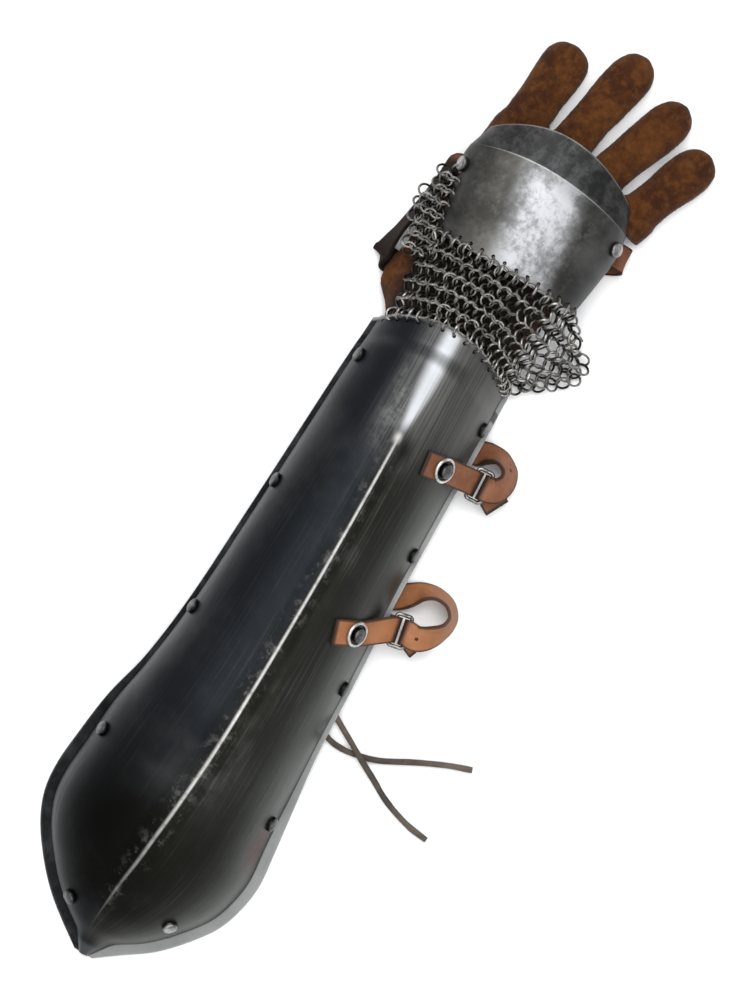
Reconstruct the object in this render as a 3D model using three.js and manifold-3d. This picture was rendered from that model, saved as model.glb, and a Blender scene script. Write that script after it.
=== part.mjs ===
// A forearm guard with a mail wrist, a hand plate and a suede glove, lying on its open side.
// Millimetres. +X runs from the elbow tip to the fingers, +Y to the thumb side, +Z up.
import * as THREE from 'three';
import { mergeVertices } from 'three/addons/utils/BufferGeometryUtils.js';
import Module from 'manifold-3d';

// Forearm plate
const forearmLength = 401;
const elbowHalfWidth = 67;
const crownHeight = 50;
const plateWall = 1.6;
const straightRim = 3;
const elbowRim = 6.5;
const edgeLift = 5;
const wristArc = 15;
const ridgeRise = 1.8;

// Mail and the holes that hold it
const mailLength = 41;
const mailThickness = 3.6;
const ringHoleRadius = 1.1;
const ringHoleInset = 3.6;
const ringHolePitch = 7;
const ringHoleLimit = 78;
const flapReach = 27.5;
const flapLead = 13.5;
const flapTrail = 2.4;
const stripWidth = 14.9;
const stripFall = 4.8;

// Hand plate
const handLength = 64;
const handHalfWidth = 50;
const handRise = 22;
const handEdgeHeight = 18;
const handWall = 1.4;
const creaseReach = 59.5;
const lipLength = 22;
const handArc = 7.5;
const lipDrop = 7;

// Glove
const gloveWall = 1.8;
const cuffInset = 20;
const fingerReach = 75;
const fingerHeight = 15;
const fingerBaseSlimming = 0.13;
const palmHeight = 36;

// Rivets
const shankRadius = 1.8;
const headRadius = 4.4;
const headHeight = 2.6;
const tailRadius = 3.4;
const tailHeight = 1;
const washerRadius = 7.4;
const washerHeight = 1.2;

// Straps, their wire loops and the laces
const strapWidth = 14.6;
const strapThickness = 2;
const elbowLoopReach = 33;
const wristLoopReach = 22;
const wire = 2.2;
const wireLoopGap = 9;
const wireLoopHeight = 15;
const laceDiameter = 3.6;
const tabLength = 26;

const clearance = 0.4;
const sideClearance = 0.6;
const cutTolerance = 0.02;
const palmStrapGap = 0.54;
const handTailGap = 1.6;

// From a wire's middle to the middle of a strap folded round it.
const foldRadius = (wire * Math.SQRT2) / 2 + clearance + strapThickness / 2;

// Outline, crown and ridge line of the forearm plate. along: share of forearmLength;
// thumb, little and ridge: shares of elbowHalfWidth; crown: share of crownHeight.
const plateSections = [
  { along: 0, thumb: 0.085, little: 0.085, ridge: 0.01, crown: 0.08 },
  { along: 0.025, thumb: 0.3, little: 0.284, ridge: 0.05, crown: 0.2 },
  { along: 0.05, thumb: 0.49, little: 0.49, ridge: 0.06, crown: 0.38 },
  { along: 0.082, thumb: 0.675, little: 0.675, ridge: 0.05, crown: 0.56 },
  { along: 0.125, thumb: 0.865, little: 0.858, ridge: 0.03, crown: 0.73 },
  { along: 0.165, thumb: 0.97, little: 0.94, ridge: 0, crown: 0.86 },
  { along: 0.205, thumb: 1, little: 0.968, ridge: -0.02, crown: 0.94 },
  { along: 0.249, thumb: 0.985, little: 0.94, ridge: -0.045, crown: 0.99 },
  { along: 0.324, thumb: 0.933, little: 0.88, ridge: -0.075, crown: 0.97 },
  { along: 0.399, thumb: 0.828, little: 0.821, ridge: -0.087, crown: 0.93 },
  { along: 0.499, thumb: 0.761, little: 0.784, ridge: -0.09, crown: 0.88 },
  { along: 0.648, thumb: 0.724, little: 0.724, ridge: -0.08, crown: 0.84 },
  { along: 0.798, thumb: 0.694, little: 0.687, ridge: -0.055, crown: 0.83 },
  { along: 1, thumb: 0.655, little: 0.649, ridge: 0, crown: 0.84 },
];

// Outline and height of the hand plate. along: share of creaseReach; thumb, little: shares of
// handHalfWidth; rise: share of handRise.
const handSections = [
  { along: 0, thumb: 0.78, little: 1, rise: 1 },
  { along: 0.3, thumb: 0.82, little: 1.05, rise: 1.02 },
  { along: 0.6, thumb: 0.88, little: 1.09, rise: 1 },
  { along: 0.85, thumb: 0.94, little: 1.09, rise: 0.97 },
  { along: 1, thumb: 0.93, little: 1.06, rise: 0.92 },
];

// Palm of the glove. along: share of the palm's length; thumb, little: shares of
// handHalfWidth; top: share of palmHeight.
const palmSections = [
  { along: 0, thumb: 0.7, little: 0.68, top: 0.94 },
  { along: 0.1, thumb: 0.84, little: 0.7, top: 0.93 },
  { along: 0.2, thumb: 1.05, little: 0.73, top: 0.88 },
  { along: 0.38, thumb: 1, little: 0.79, top: 0.84 },
  { along: 0.56, thumb: 0.94, little: 0.9, top: 0.93 },
  { along: 0.75, thumb: 0.86, little: 1.0, top: 0.97 },
  { along: 0.9, thumb: 0.88, little: 1.06, top: 0.84 },
  { along: 1, thumb: 0.8, little: 1.02, top: 0.5 },
];

// Fingers. base and bend: places as shares of fingerReach ahead of the palm's knuckle line and
// of handHalfWidth to the thumb side; tip the same; width: half the width over handHalfWidth.
const fingers = [
  { base: [-0.1, 0.6], bend: [0.45, 0.52], tip: [0.89, 0.48], width: 0.3 },
  { base: [-0.1, 0.06], bend: [0.5, -0.05], tip: [1.08, -0.27], width: 0.28 },
  { base: [-0.1, -0.4], bend: [0.35, -0.6], tip: [0.92, -0.93], width: 0.275 },
  { base: [-0.1, -0.96], bend: [0.2, -1.12], tip: [0.7, -1.43], width: 0.275 },
];

// Rivets of the forearm plate, from the wrist to the elbow. along: share of forearmLength;
// angle: degrees down from the ridge.
const thumbRivets = [
  { along: 0.915, angle: 66 },
  { along: 0.7, angle: 72 },
  { along: 0.494, angle: 72 },
  { along: 0.287, angle: 66 },
  { along: 0.067, angle: 40 },
];
const littleRivets = [
  { along: 0.915, angle: 73 },
  { along: 0.708, angle: 73 },
  { along: 0.502, angle: 74 },
  { along: 0.292, angle: 70 },
  { along: 0.102, angle: 51 },
];

// The loops that the long straps make outside the plate. along and out: shares of the loop's
// reach, from the wire loop's middle and from the plate's edge; rise: share of strapWidth;
// turn and lean: where the strap's width points, in degrees round and up.
const elbowLoop = [
  { along: 0.06, out: 0.54, rise: 1.22, turn: 20, lean: 12 },
  { along: 0.19, out: 0.73, rise: 1.12, turn: 42, lean: 36 },
  { along: 0.41, out: 0.885, rise: 0.93, turn: 80, lean: 64 },
  { along: 0.65, out: 0.9, rise: 0.79, turn: 115, lean: 72 },
  { along: 0.83, out: 0.74, rise: 0.71, turn: 150, lean: 72 },
  { along: 0.875, out: 0.5, rise: 0.64, turn: 180, lean: 68 },
  { along: 0.79, out: 0.27, rise: 0.52, turn: 206, lean: 54 },
  { along: 0.62, out: 0.09, rise: 0.33, turn: 212, lean: 27 },
  { along: 0.47, out: -0.09, rise: 0.15, turn: 204, lean: 5 },
  { along: 0.4, out: -0.32, rise: 0.09, turn: 188, lean: 0 },
];
const wristLoop = [
  { along: 0.12, out: 0.84, rise: 1.18, turn: 35, lean: 24 },
  { along: 0.42, out: 0.97, rise: 1.0, turn: 82, lean: 50 },
  { along: 0.72, out: 0.87, rise: 0.85, turn: 128, lean: 58 },
  { along: 0.88, out: 0.57, rise: 0.7, turn: 172, lean: 58 },
  { along: 0.83, out: 0.25, rise: 0.47, turn: 198, lean: 42 },
  { along: 0.72, out: -0.02, rise: 0.19, turn: 200, lean: 9 },
  { along: 0.68, out: -0.34, rise: 0.09, turn: 186, lean: 0 },
];

// The two forearm straps. along: share of forearmLength; angle: the rivet's, in degrees down
// from the ridge; slant and square: how far the strap and its wire loop turn, in degrees.
const straps = [
  { name: 'elbow_strap', along: 0.5775, angle: 47, slant: 25, square: 12, shift: 12.1, out: 3.6,
    reach: elbowLoopReach, loop: elbowLoop, farRivet: 1 },
  { name: 'wrist_strap', along: 0.829, angle: 45, slant: 12, square: 4, shift: 3, out: 4.6,
    reach: wristLoopReach, loop: wristLoop, farRivet: 0 },
];

// The two laces, in millimetres from the elbow tip, the middle line and the surface.
const laceRoutes = {
  lace_a: [
    [186.5, -38, 9], [180, -43.5, 6.5], [175.5, -49, 3.6], [172, -57, 1.9], [171.5, -66, 1.9],
    [173, -75, 1.9], [176, -85, 1.9], [180, -93, 1.9], [185, -102, 1.9], [190, -112, 1.9],
    [194.5, -122, 1.9], [198.5, -133, 1.9],
  ],
  lace_b: [
    [193.5, -38, 9], [191, -43.5, 6.5], [187.5, -49, 3.6], [183.5, -55.5, 2.2], [179, -64, 3.6],
    [174.5, -72.5, 6.1], [170, -80.5, 4.2], [165.5, -89, 2.2], [160.5, -98, 1.9], [156.5, -108, 1.9],
    [153.5, -119, 1.9], [152, -131, 1.9],
  ],
};

const wasm = await Module();
wasm.setup();

const up = new THREE.Vector3(0, 0, 1);

function vec(x, y, z) {
  return new THREE.Vector3(x, y, z);
}

function smooth(value, low, high) {
  const t = Math.min(1, Math.max(0, (value - low) / (high - low)));
  return t * t * (3 - 2 * t);
}

function radians(degrees) {
  return (degrees * Math.PI) / 180;
}

// A table's column at any place between its rows, as a smooth curve through them.
function tableValue(table, column, at) {
  const last = table.length - 1;
  let i = 0;
  while (i < last - 1 && at > table[i + 1].along) i += 1;
  const slopeAt = (k) => {
    const a = table[Math.max(0, k - 1)];
    const b = table[Math.min(last, k + 1)];
    return (b[column] - a[column]) / (b.along - a.along);
  };
  const span = table[i + 1].along - table[i].along;
  const t = Math.min(1, Math.max(0, (at - table[i].along) / span));
  const t2 = t * t;
  const t3 = t2 * t;
  return (2 * t3 - 3 * t2 + 1) * table[i][column] + (t3 - 2 * t2 + t) * span * slopeAt(i)
    + (3 * t2 - 2 * t3) * table[i + 1][column] + (t3 - t2) * span * slopeAt(i + 1);
}

// Geometry from points and triangles, with the shared points kept as they are.
function fromFaces(points, faces) {
  const geometry = new THREE.BufferGeometry();
  const flat = points.flatMap((p) => [p.x, p.y, p.z]);
  geometry.setAttribute('position', new THREE.Float32BufferAttribute(flat, 3));
  geometry.setIndex(faces.flat());
  geometry.computeVertexNormals();
  return geometry;
}

// A solid through rings of the same number of points, closed with a fan at each end.
function loft(rings) {
  const n = rings[0].length;
  const points = rings.flat();
  const faces = [];
  for (let i = 0; i < rings.length - 1; i += 1) {
    for (let j = 0; j < n; j += 1) {
      const a = i * n + j;
      const b = i * n + ((j + 1) % n);
      faces.push([a, b, b + n], [a, b + n, a + n]);
    }
  }
  for (const [ring, start] of [[rings[0], 0], [rings[rings.length - 1], (rings.length - 1) * n]]) {
    const middle = ring.reduce((sum, p) => sum.clone().add(p), vec(0, 0, 0)).divideScalar(n);
    points.push(middle);
    for (let j = 0; j < n; j += 1) {
      const a = start + j;
      const b = start + ((j + 1) % n);
      faces.push(start === 0 ? [b, a, points.length - 1] : [a, b, points.length - 1]);
    }
  }
  return outward(fromFaces(points, faces));
}

// The volume inside the triangles, negative where they are inside out.
function signedVolume(geometry) {
  const p = geometry.attributes.position;
  const index = geometry.index;
  let sum = 0;
  const a = vec(0, 0, 0);
  const b = vec(0, 0, 0);
  const c = vec(0, 0, 0);
  for (let k = 0; k < index.count; k += 3) {
    a.fromBufferAttribute(p, index.getX(k));
    b.fromBufferAttribute(p, index.getX(k + 1));
    c.fromBufferAttribute(p, index.getX(k + 2));
    sum += a.dot(b.cross(c)) / 6;
  }
  return sum;
}

function outward(geometry) {
  if (signedVolume(geometry) < 0) {
    const index = geometry.index;
    for (let k = 0; k < index.count; k += 3) {
      const second = index.getX(k + 1);
      index.setX(k + 1, index.getX(k + 2));
      index.setX(k + 2, second);
    }
  }
  return geometry;
}

// A wall between two grids of points, closed along its four edges.
function sheet(outer, inner) {
  const rows = outer.length;
  const columns = outer[0].length;
  const points = outer.flat().concat(inner.flat());
  const at = (layer, i, j) => layer * rows * columns + i * columns + j;
  const faces = [];
  const quad = (a, b, c, d) => faces.push([a, b, c], [a, c, d]);
  for (let i = 0; i < rows - 1; i += 1) {
    for (let j = 0; j < columns - 1; j += 1) {
      quad(at(0, i, j), at(0, i + 1, j), at(0, i + 1, j + 1), at(0, i, j + 1));
      quad(at(1, i, j), at(1, i, j + 1), at(1, i + 1, j + 1), at(1, i + 1, j));
    }
    quad(at(0, i, 0), at(1, i, 0), at(1, i + 1, 0), at(0, i + 1, 0));
    const c = columns - 1;
    quad(at(0, i, c), at(0, i + 1, c), at(1, i + 1, c), at(1, i, c));
  }
  for (let j = 0; j < columns - 1; j += 1) {
    quad(at(0, 0, j), at(0, 0, j + 1), at(1, 0, j + 1), at(1, 0, j));
    const r = rows - 1;
    quad(at(0, r, j), at(1, r, j), at(1, r, j + 1), at(0, r, j + 1));
  }
  return outward(fromFaces(points, faces));
}

// Moves every point of a grid along the surface's own normal.
function offsetGrid(grid, distance) {
  return grid.map((row, i) => row.map((p, j) => {
    const before = grid[Math.max(0, i - 1)][j];
    const after = grid[Math.min(grid.length - 1, i + 1)][j];
    const left = row[Math.max(0, j - 1)];
    const right = row[Math.min(row.length - 1, j + 1)];
    const normal = after.clone().sub(before).cross(right.clone().sub(left)).normalize();
    return p.clone().addScaledVector(normal, distance);
  }));
}

function toManifold(geometry) {
  const bare = geometry.clone();
  bare.deleteAttribute('normal');
  bare.deleteAttribute('uv');
  const merged = mergeVertices(bare, 1e-4);
  const vertProperties = new Float32Array(merged.attributes.position.array);
  const triVerts = new Uint32Array(merged.index.array);
  return new wasm.Manifold(new wasm.Mesh({ numProp: 3, vertProperties, triVerts }));
}

// A cut leaves needle-thin triangles, which are collapsed within a small tolerance.
function fromManifold(manifold) {
  const mesh = manifold.simplify(cutTolerance).getMesh();
  const geometry = new THREE.BufferGeometry();
  geometry.setAttribute('position', new THREE.Float32BufferAttribute(mesh.vertProperties, 3));
  geometry.setIndex(Array.from(mesh.triVerts));
  geometry.computeVertexNormals();
  return geometry;
}

// A prism from one point to another, to cut a round hole with.
function drill(from, to, radius, sides = 8) {
  const length = from.distanceTo(to);
  const prism = new THREE.CylinderGeometry(radius, radius, length, sides);
  const direction = to.clone().sub(from).normalize();
  prism.applyQuaternion(new THREE.Quaternion().setFromUnitVectors(vec(0, 1, 0), direction));
  const middle = from.clone().add(to).multiplyScalar(0.5);
  prism.translate(middle.x, middle.y, middle.z);
  return toManifold(prism);
}

// Forearm plate

function outlineAt(along, side) {
  return elbowHalfWidth * tableValue(plateSections, side > 0 ? 'thumb' : 'little', along);
}

function liftAt(along) {
  return edgeLift * smooth(along, 0.29, 0.4) * (1 - smooth(along, 0.94, 0.968));
}

function rimAt(along, side) {
  const step = 0.004;
  const low = Math.max(0, along - step);
  const high = Math.min(1, along + step);
  const slope = (outlineAt(high, side) - outlineAt(low, side)) / ((high - low) * forearmLength);
  const width = straightRim + (elbowRim - straightRim) * (1 - smooth(along, 0.24, 0.42));
  return Math.min(width * Math.hypot(1, slope), outlineAt(along, side) * 0.5);
}

function plateX(along, across) {
  return along * forearmLength - wristArc * across * across * smooth(along, 0.86, 1);
}

// A point of the outer face, by its angle down from the ridge: 90 is the foot of the wall.
function platePoint(along, degrees) {
  const side = degrees < 0 ? -1 : 1;
  const angle = radians(Math.abs(degrees));
  const ridge = elbowHalfWidth * tableValue(plateSections, 'ridge', along);
  const half = outlineAt(along, side) - rimAt(along, side) - side * ridge;
  const flank = side > 0 ? 0.92 : 1;
  const shoulder = side > 0 ? 0.95 : 1.1;
  const y = ridge + side * half * Math.sin(angle) ** flank;
  const crown = crownHeight * tableValue(plateSections, 'crown', along);
  const fold = ridgeRise * smooth(along, 0.03, 0.12) * (1 - smooth(along, 0.83, 0.87));
  const peak = fold * Math.max(0, 1 - Math.abs(degrees) / 9);
  const z = liftAt(along) + plateWall + crown * Math.cos(angle) ** shoulder + peak;
  return vec(plateX(along, y / outlineAt(along, side)), y, z);
}

function rimPoint(along, side) {
  return vec(plateX(along, 1), side * outlineAt(along, side), liftAt(along) + plateWall);
}

function plateNormal(along, degrees) {
  const step = 0.5;
  const before = platePoint(along - 0.004, degrees);
  const after = platePoint(along + 0.004, degrees);
  const left = platePoint(along, degrees - step);
  const right = platePoint(along, degrees + step);
  return after.sub(before).cross(right.sub(left)).normalize();
}

const plateRows = [0, 0.012, 0.026, 0.042, 0.06, 0.08, 0.105, 0.135, 0.165, 0.2, 0.24, 0.275, 0.31, 0.355,
  0.4, 0.48, 0.57, 0.66, 0.75, 0.83, 0.86, 0.9, 0.94, 0.954, 0.968, 0.984, 1];
const plateAngles = [-90, -79, -68, -57, -46, -34, -22, -9, 0, 9, 22, 34, 46, 57, 68, 79, 90];

function makeForearmPlate() {
  const outer = plateRows.map((along) => [
    rimPoint(along, -1),
    ...plateAngles.map((degrees) => platePoint(along, degrees)),
    rimPoint(along, 1),
  ]);
  let plate = toManifold(sheet(outer, offsetGrid(outer, -plateWall)));
  for (const rivet of forearmRivetPlaces()) {
    plate = plate.subtract(rivetHole(rivet.point, rivet.normal));
  }
  for (const hole of edgeHoles(plateEdge, forearmLength)) {
    plate = plate.subtract(hole);
  }
  return fromManifold(plate);
}

// The wrist edge of the forearm plate, by its angle from the ridge.
function plateEdge(degrees) {
  return platePoint(1, degrees);
}

// Angles along an edge that lie one ring hole's pitch apart.
function edgeAngles(edge, limit) {
  const angles = [];
  let last = edge(-limit);
  for (let degrees = -limit; degrees <= limit; degrees += 0.5) {
    const point = edge(degrees);
    if (angles.length === 0 || point.distanceTo(last) >= ringHolePitch) {
      angles.push(degrees);
      last = point;
    }
  }
  return angles;
}

// Round holes through a plate, one ring hole's inset from its edge at a given X direction.
function edgeHoles(edge, towardX) {
  const sign = towardX > 0 ? -1 : 1;
  return edgeAngles(edge, ringHoleLimit).map((degrees) => {
    const point = edge(degrees);
    const tangent = edge(degrees + 1).sub(edge(degrees - 1)).normalize();
    const normal = vec(1, 0, 0).cross(tangent).normalize();
    const place = point.clone().add(vec(sign * ringHoleInset, 0, 0));
    const reach = plateWall * 2.5;
    return drill(
      place.clone().addScaledVector(normal, -reach),
      place.clone().addScaledVector(normal, reach),
      ringHoleRadius,
      6,
    );
  });
}

// Rivets

function forearmRivetPlaces() {
  const places = [];
  const add = (rows, side) => rows.forEach((row) => places.push({
    point: platePoint(row.along, side * row.angle),
    normal: plateNormal(row.along, side * row.angle),
  }));
  add(thumbRivets, 1);
  add(littleRivets, -1);
  straps.forEach((row) => places.push({
    point: platePoint(row.along, -row.angle),
    normal: plateNormal(row.along, -row.angle),
  }));
  return places;
}

function rivetHole(point, normal) {
  const reach = crownHeight / 4;
  return drill(
    point.clone().addScaledVector(normal, -reach),
    point.clone().addScaledVector(normal, reach),
    shankRadius + clearance,
  );
}

// A domed rivet. above: what lies over the plate's outer face; below: what lies under it.
function makeRivet(point, normal, above, below) {
  const dome = [90, 58, 26, 0].map((degrees) => {
    const a = radians(degrees);
    return new THREE.Vector2(Math.cos(a) * headRadius, above + Math.sin(a) * headHeight);
  });
  dome[0].x = 0;
  const profile = [
    new THREE.Vector2(0, -below - tailHeight),
    new THREE.Vector2(tailRadius * 0.8, -below - tailHeight),
    new THREE.Vector2(tailRadius, -below),
    new THREE.Vector2(shankRadius, -below),
    new THREE.Vector2(shankRadius, above),
    ...dome.reverse(),
  ];
  const rivet = new THREE.LatheGeometry(profile, 9);
  rivet.applyQuaternion(new THREE.Quaternion().setFromUnitVectors(vec(0, 1, 0), normal));
  rivet.translate(point.x, point.y, point.z);
  return outward(mergeBare(rivet));
}

function mergeBare(geometry) {
  geometry.deleteAttribute('normal');
  geometry.deleteAttribute('uv');
  const merged = mergeVertices(geometry, 1e-4);
  merged.computeVertexNormals();
  return merged;
}

// A flat ring under a rivet's head.
function makeWasher(point, normal, below) {
  const inner = shankRadius + clearance;
  const profile = [
    new THREE.Vector2(inner, below),
    new THREE.Vector2(washerRadius, below),
    new THREE.Vector2(washerRadius, below + washerHeight * 0.4),
    new THREE.Vector2(washerRadius * 0.9, below + washerHeight),
    new THREE.Vector2(inner, below + washerHeight),
    new THREE.Vector2(inner, below),
  ];
  const washer = new THREE.LatheGeometry(profile, 16);
  washer.applyQuaternion(new THREE.Quaternion().setFromUnitVectors(vec(0, 1, 0), normal));
  washer.translate(point.x, point.y, point.z);
  return outward(mergeBare(washer));
}

// A strap through stations that each have a middle point and a width direction.
function ribbon(stations, width, thickness) {
  const rings = stations.map((station, k) => {
    const before = stations[Math.max(0, k - 1)].point;
    const after = stations[Math.min(stations.length - 1, k + 1)].point;
    const tangent = after.clone().sub(before).normalize();
    const across = station.across.clone().addScaledVector(tangent, -station.across.dot(tangent));
    across.normalize();
    const normal = tangent.clone().cross(across).normalize();
    const corner = (u, v) => station.point.clone()
      .addScaledVector(across, (u * width) / 2)
      .addScaledVector(normal, (v * thickness) / 2);
    return [corner(-1, -1), corner(1, -1), corner(1, 1), corner(-1, 1)];
  });
  return loft(rings);
}

function widthDirection(turn, lean) {
  const level = Math.cos(radians(lean));
  return vec(Math.cos(radians(turn)) * level, Math.sin(radians(turn)) * level, Math.sin(radians(lean)));
}

// Stations between hand-set ones, on a smooth curve through all of them.
function refine(stations, steps) {
  const points = new THREE.CatmullRomCurve3(stations.map((s) => s.point), false, 'centripetal');
  const widths = new THREE.CatmullRomCurve3(stations.map((s) => s.across), false, 'centripetal');
  const count = (stations.length - 1) * steps;
  return Array.from({ length: count + 1 }, (_, k) => ({
    point: points.getPoint(k / count),
    across: widths.getPoint(k / count).normalize(),
  }));
}

// A station of a strap that lies on a wall, its width turned into the wall's own plane.
function onWall(point, normal, gap, across) {
  return {
    point: point.clone().addScaledVector(normal, gap + strapThickness / 2),
    across: across.clone().addScaledVector(normal, -across.dot(normal)).normalize(),
  };
}

function underWall(point, normal, wall, across) {
  return onWall(point, normal, -wall - clearance - strapThickness, across);
}

// Half a turn round a wire, from one angle to another in the upright plane of the heading.
function turnRound(centre, heading, across, from, to, steps) {
  return Array.from({ length: steps + 1 }, (_, k) => {
    const angle = radians(from + ((to - from) * k) / steps);
    return {
      point: centre.clone()
        .addScaledVector(heading, Math.cos(angle) * foldRadius)
        .addScaledVector(up, Math.sin(angle) * foldRadius),
      across,
    };
  });
}

// Where a strap's wire loop lies: the middles of its inner and outer bars.
function wireLoopPlace(strap) {
  const square = radians(strap.square);
  const across = vec(Math.cos(square), Math.sin(square), 0);
  const heading = vec(Math.sin(square), -Math.cos(square), 0);
  const edge = -outlineAt(strap.along, -1);
  const x = strap.along * forearmLength + strap.shift;
  const inner = vec(x, edge - strap.out, wireLoopHeight);
  const outer = inner.clone().addScaledVector(heading, wireLoopGap);
  return { across, heading, inner, outer, edge, x };
}

// The short strap: flat on the plate under its rivet, then folded round the inner bar.
function makeShortStrap(strap) {
  const { across, heading, inner } = wireLoopPlace(strap);
  const slant = widthDirection(strap.slant, 0);
  const rivet = platePoint(strap.along, -strap.angle);
  const stations = [-18, -9, 0, 7].map((step) => {
    const degrees = -strap.angle - step;
    const y = platePoint(strap.along, degrees).y;
    const drift = (rivet.y - y) * Math.tan(radians(strap.slant));
    const along = strap.along + drift / forearmLength;
    return onWall(platePoint(along, degrees), plateNormal(along, degrees), clearance, slant);
  });
  stations.push(...turnRound(inner, heading, across, 62, -90, 5));
  const under = inner.clone().addScaledVector(up, -foldRadius).addScaledVector(heading, -wire * 1.6);
  stations.push({ point: under, across });
  const geometry = ribbon(stations, strapWidth, strapThickness);
  const normal = plateNormal(strap.along, -strap.angle);
  return fromManifold(toManifold(geometry).subtract(rivetHole(rivet, normal)));
}

function makeWireLoop(strap) {
  const { inner, outer } = wireLoopPlace(strap);
  const halfWidth = strapWidth / 2 + sideClearance;
  const halfGap = wireLoopGap / 2 - wire / 2;
  const corner = wire * 0.7;
  const frame = roundedRectangle(halfWidth + wire, halfGap + wire, corner);
  frame.holes.push(roundedRectangle(halfWidth, halfGap, corner * 0.3));
  const geometry = new THREE.ExtrudeGeometry(frame, { depth: wire, bevelEnabled: false, curveSegments: 3 });
  geometry.translate(0, 0, -wire / 2);
  geometry.rotateZ(radians(strap.square));
  const middle = inner.clone().add(outer).multiplyScalar(0.5);
  geometry.translate(middle.x, middle.y, middle.z);
  return outward(mergeBare(geometry));
}

function roundedRectangle(halfX, halfY, radius) {
  const shape = new THREE.Shape();
  shape.moveTo(-halfX + radius, -halfY);
  shape.lineTo(halfX - radius, -halfY);
  shape.absarc(halfX - radius, -halfY + radius, radius, -Math.PI / 2, 0);
  shape.lineTo(halfX, halfY - radius);
  shape.absarc(halfX - radius, halfY - radius, radius, 0, Math.PI / 2);
  shape.lineTo(-halfX + radius, halfY);
  shape.absarc(-halfX + radius, halfY - radius, radius, Math.PI / 2, Math.PI);
  shape.lineTo(-halfX, -halfY + radius);
  shape.absarc(-halfX + radius, -halfY + radius, radius, Math.PI, Math.PI * 1.5);
  return shape;
}

// The long strap: a tail under the wire loop, over its outer bar, round in an open loop, then
// flat under the plate's edge and up the far wall to a rivet.
function makeLongStrap(strap) {
  const { across, heading, outer, edge, x } = wireLoopPlace(strap);
  const tailAcross = widthDirection(strap.square - 20, 0);
  const below = outer.clone().addScaledVector(up, -foldRadius);
  const tail = [2.2, 1.3, 0.6].map((share) => ({
    point: below.clone()
      .addScaledVector(heading, share * foldRadius * 1.6)
      .add(vec(-share * foldRadius, 0, -share * foldRadius * 0.9)),
    across: tailAcross,
  }));
  const fold = turnRound(outer, heading, across, -90, -270, 6);
  const loop = strap.loop.map((row) => ({
    point: vec(x + row.along * strap.reach, edge - row.out * strap.reach, row.rise * strapWidth),
    across: widthDirection(row.turn, row.lean),
  }));
  const first = fold[fold.length - 1];
  const curve = refine([first, ...loop], 2).slice(1);
  const rivetRow = thumbRivets[strap.farRivet];
  const far = [18, 8, 0, -10].map((step) => farWallStation(rivetRow, step));
  const floor = vec(far[0].point.x, far[0].point.y * 0.86, strapThickness / 2 + clearance);
  const stations = [
    ...tail,
    ...fold,
    ...curve,
    { point: floor, across: vec(-1, 0, 0) },
    ...far,
  ];
  const geometry = ribbon(stations, strapWidth, strapThickness);
  const rivet = platePoint(rivetRow.along, rivetRow.angle);
  const normal = plateNormal(rivetRow.along, rivetRow.angle);
  return fromManifold(toManifold(geometry).subtract(rivetHole(rivet, normal)));
}

// A place on the inner face of the thumb-side wall, a step of degrees below its rivet.
function farWallStation(row, step) {
  const degrees = Math.min(88, row.angle + step);
  const normal = plateNormal(row.along, degrees);
  return underWall(platePoint(row.along, degrees), normal, plateWall, vec(-1, 0, 0));
}

// Laces and the tab that they are tied to

function makeLace(points) {
  const curve = new THREE.CatmullRomCurve3(points.map((p) => vec(...p)), false, 'centripetal');
  const section = new THREE.Shape();
  const sides = 8;
  for (let k = 0; k < sides; k += 1) {
    const angle = (k / sides) * Math.PI * 2;
    const place = [Math.cos(angle), Math.sin(angle)].map((s) => (s * laceDiameter) / 2);
    if (k === 0) section.moveTo(...place);
    else section.lineTo(...place);
  }
  const steps = Math.round(curve.getLength() / (laceDiameter * 1.6));
  const geometry = new THREE.ExtrudeGeometry(section, { steps, extrudePath: curve, bevelEnabled: false });
  return outward(mergeBare(geometry));
}

// A leather tab inside the little-finger wall, under one rivet, with its lower end free.
function makeLaceTab() {
  const row = littleRivets[2];
  const stations = [-8, 0, 6].map((step) => {
    const degrees = -row.angle - step;
    return underWall(platePoint(row.along, degrees), plateNormal(row.along, degrees), plateWall, vec(1, 0, 0));
  });
  const geometry = ribbon(stations, tabLength, strapThickness);
  const rivet = platePoint(row.along, -row.angle);
  return fromManifold(toManifold(geometry).subtract(rivetHole(rivet, plateNormal(row.along, -row.angle))));
}

// Hand plate

const handStart = forearmLength + mailLength;
const knuckleLine = handStart + handLength;

function handOutline(along, side) {
  return handHalfWidth * tableValue(handSections, side > 0 ? 'thumb' : 'little', Math.min(1, along));
}

// A point of the hand plate's outer face. along: share of creaseReach, past 1 on the lip.
function handPoint(along, degrees) {
  const side = degrees < 0 ? -1 : 1;
  const angle = radians(Math.abs(degrees));
  const lip = Math.max(0, along - 1);
  const share = Math.sin(angle);
  const width = handOutline(along, side) * (1 - lip * 0.1);
  const y = side * width * share;
  const crown = handRise * tableValue(handSections, 'rise', Math.min(1, along));
  const arc = along * smooth(along, 0.3, 1.1);
  const x = handStart + Math.min(1, along) * creaseReach + lip * lipLength - arc * handArc * share * share;
  const z = handEdgeHeight + crown * Math.cos(angle) - lip * lipDrop * (0.35 + 0.65 * Math.cos(angle));
  return vec(x, y, z);
}

function handNormal(along, degrees) {
  const before = handPoint(along - 0.01, degrees);
  const after = handPoint(along + 0.01, degrees);
  const left = handPoint(along, degrees - 0.5);
  const right = handPoint(along, degrees + 0.5);
  return after.sub(before).cross(right.sub(left)).normalize();
}

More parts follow.
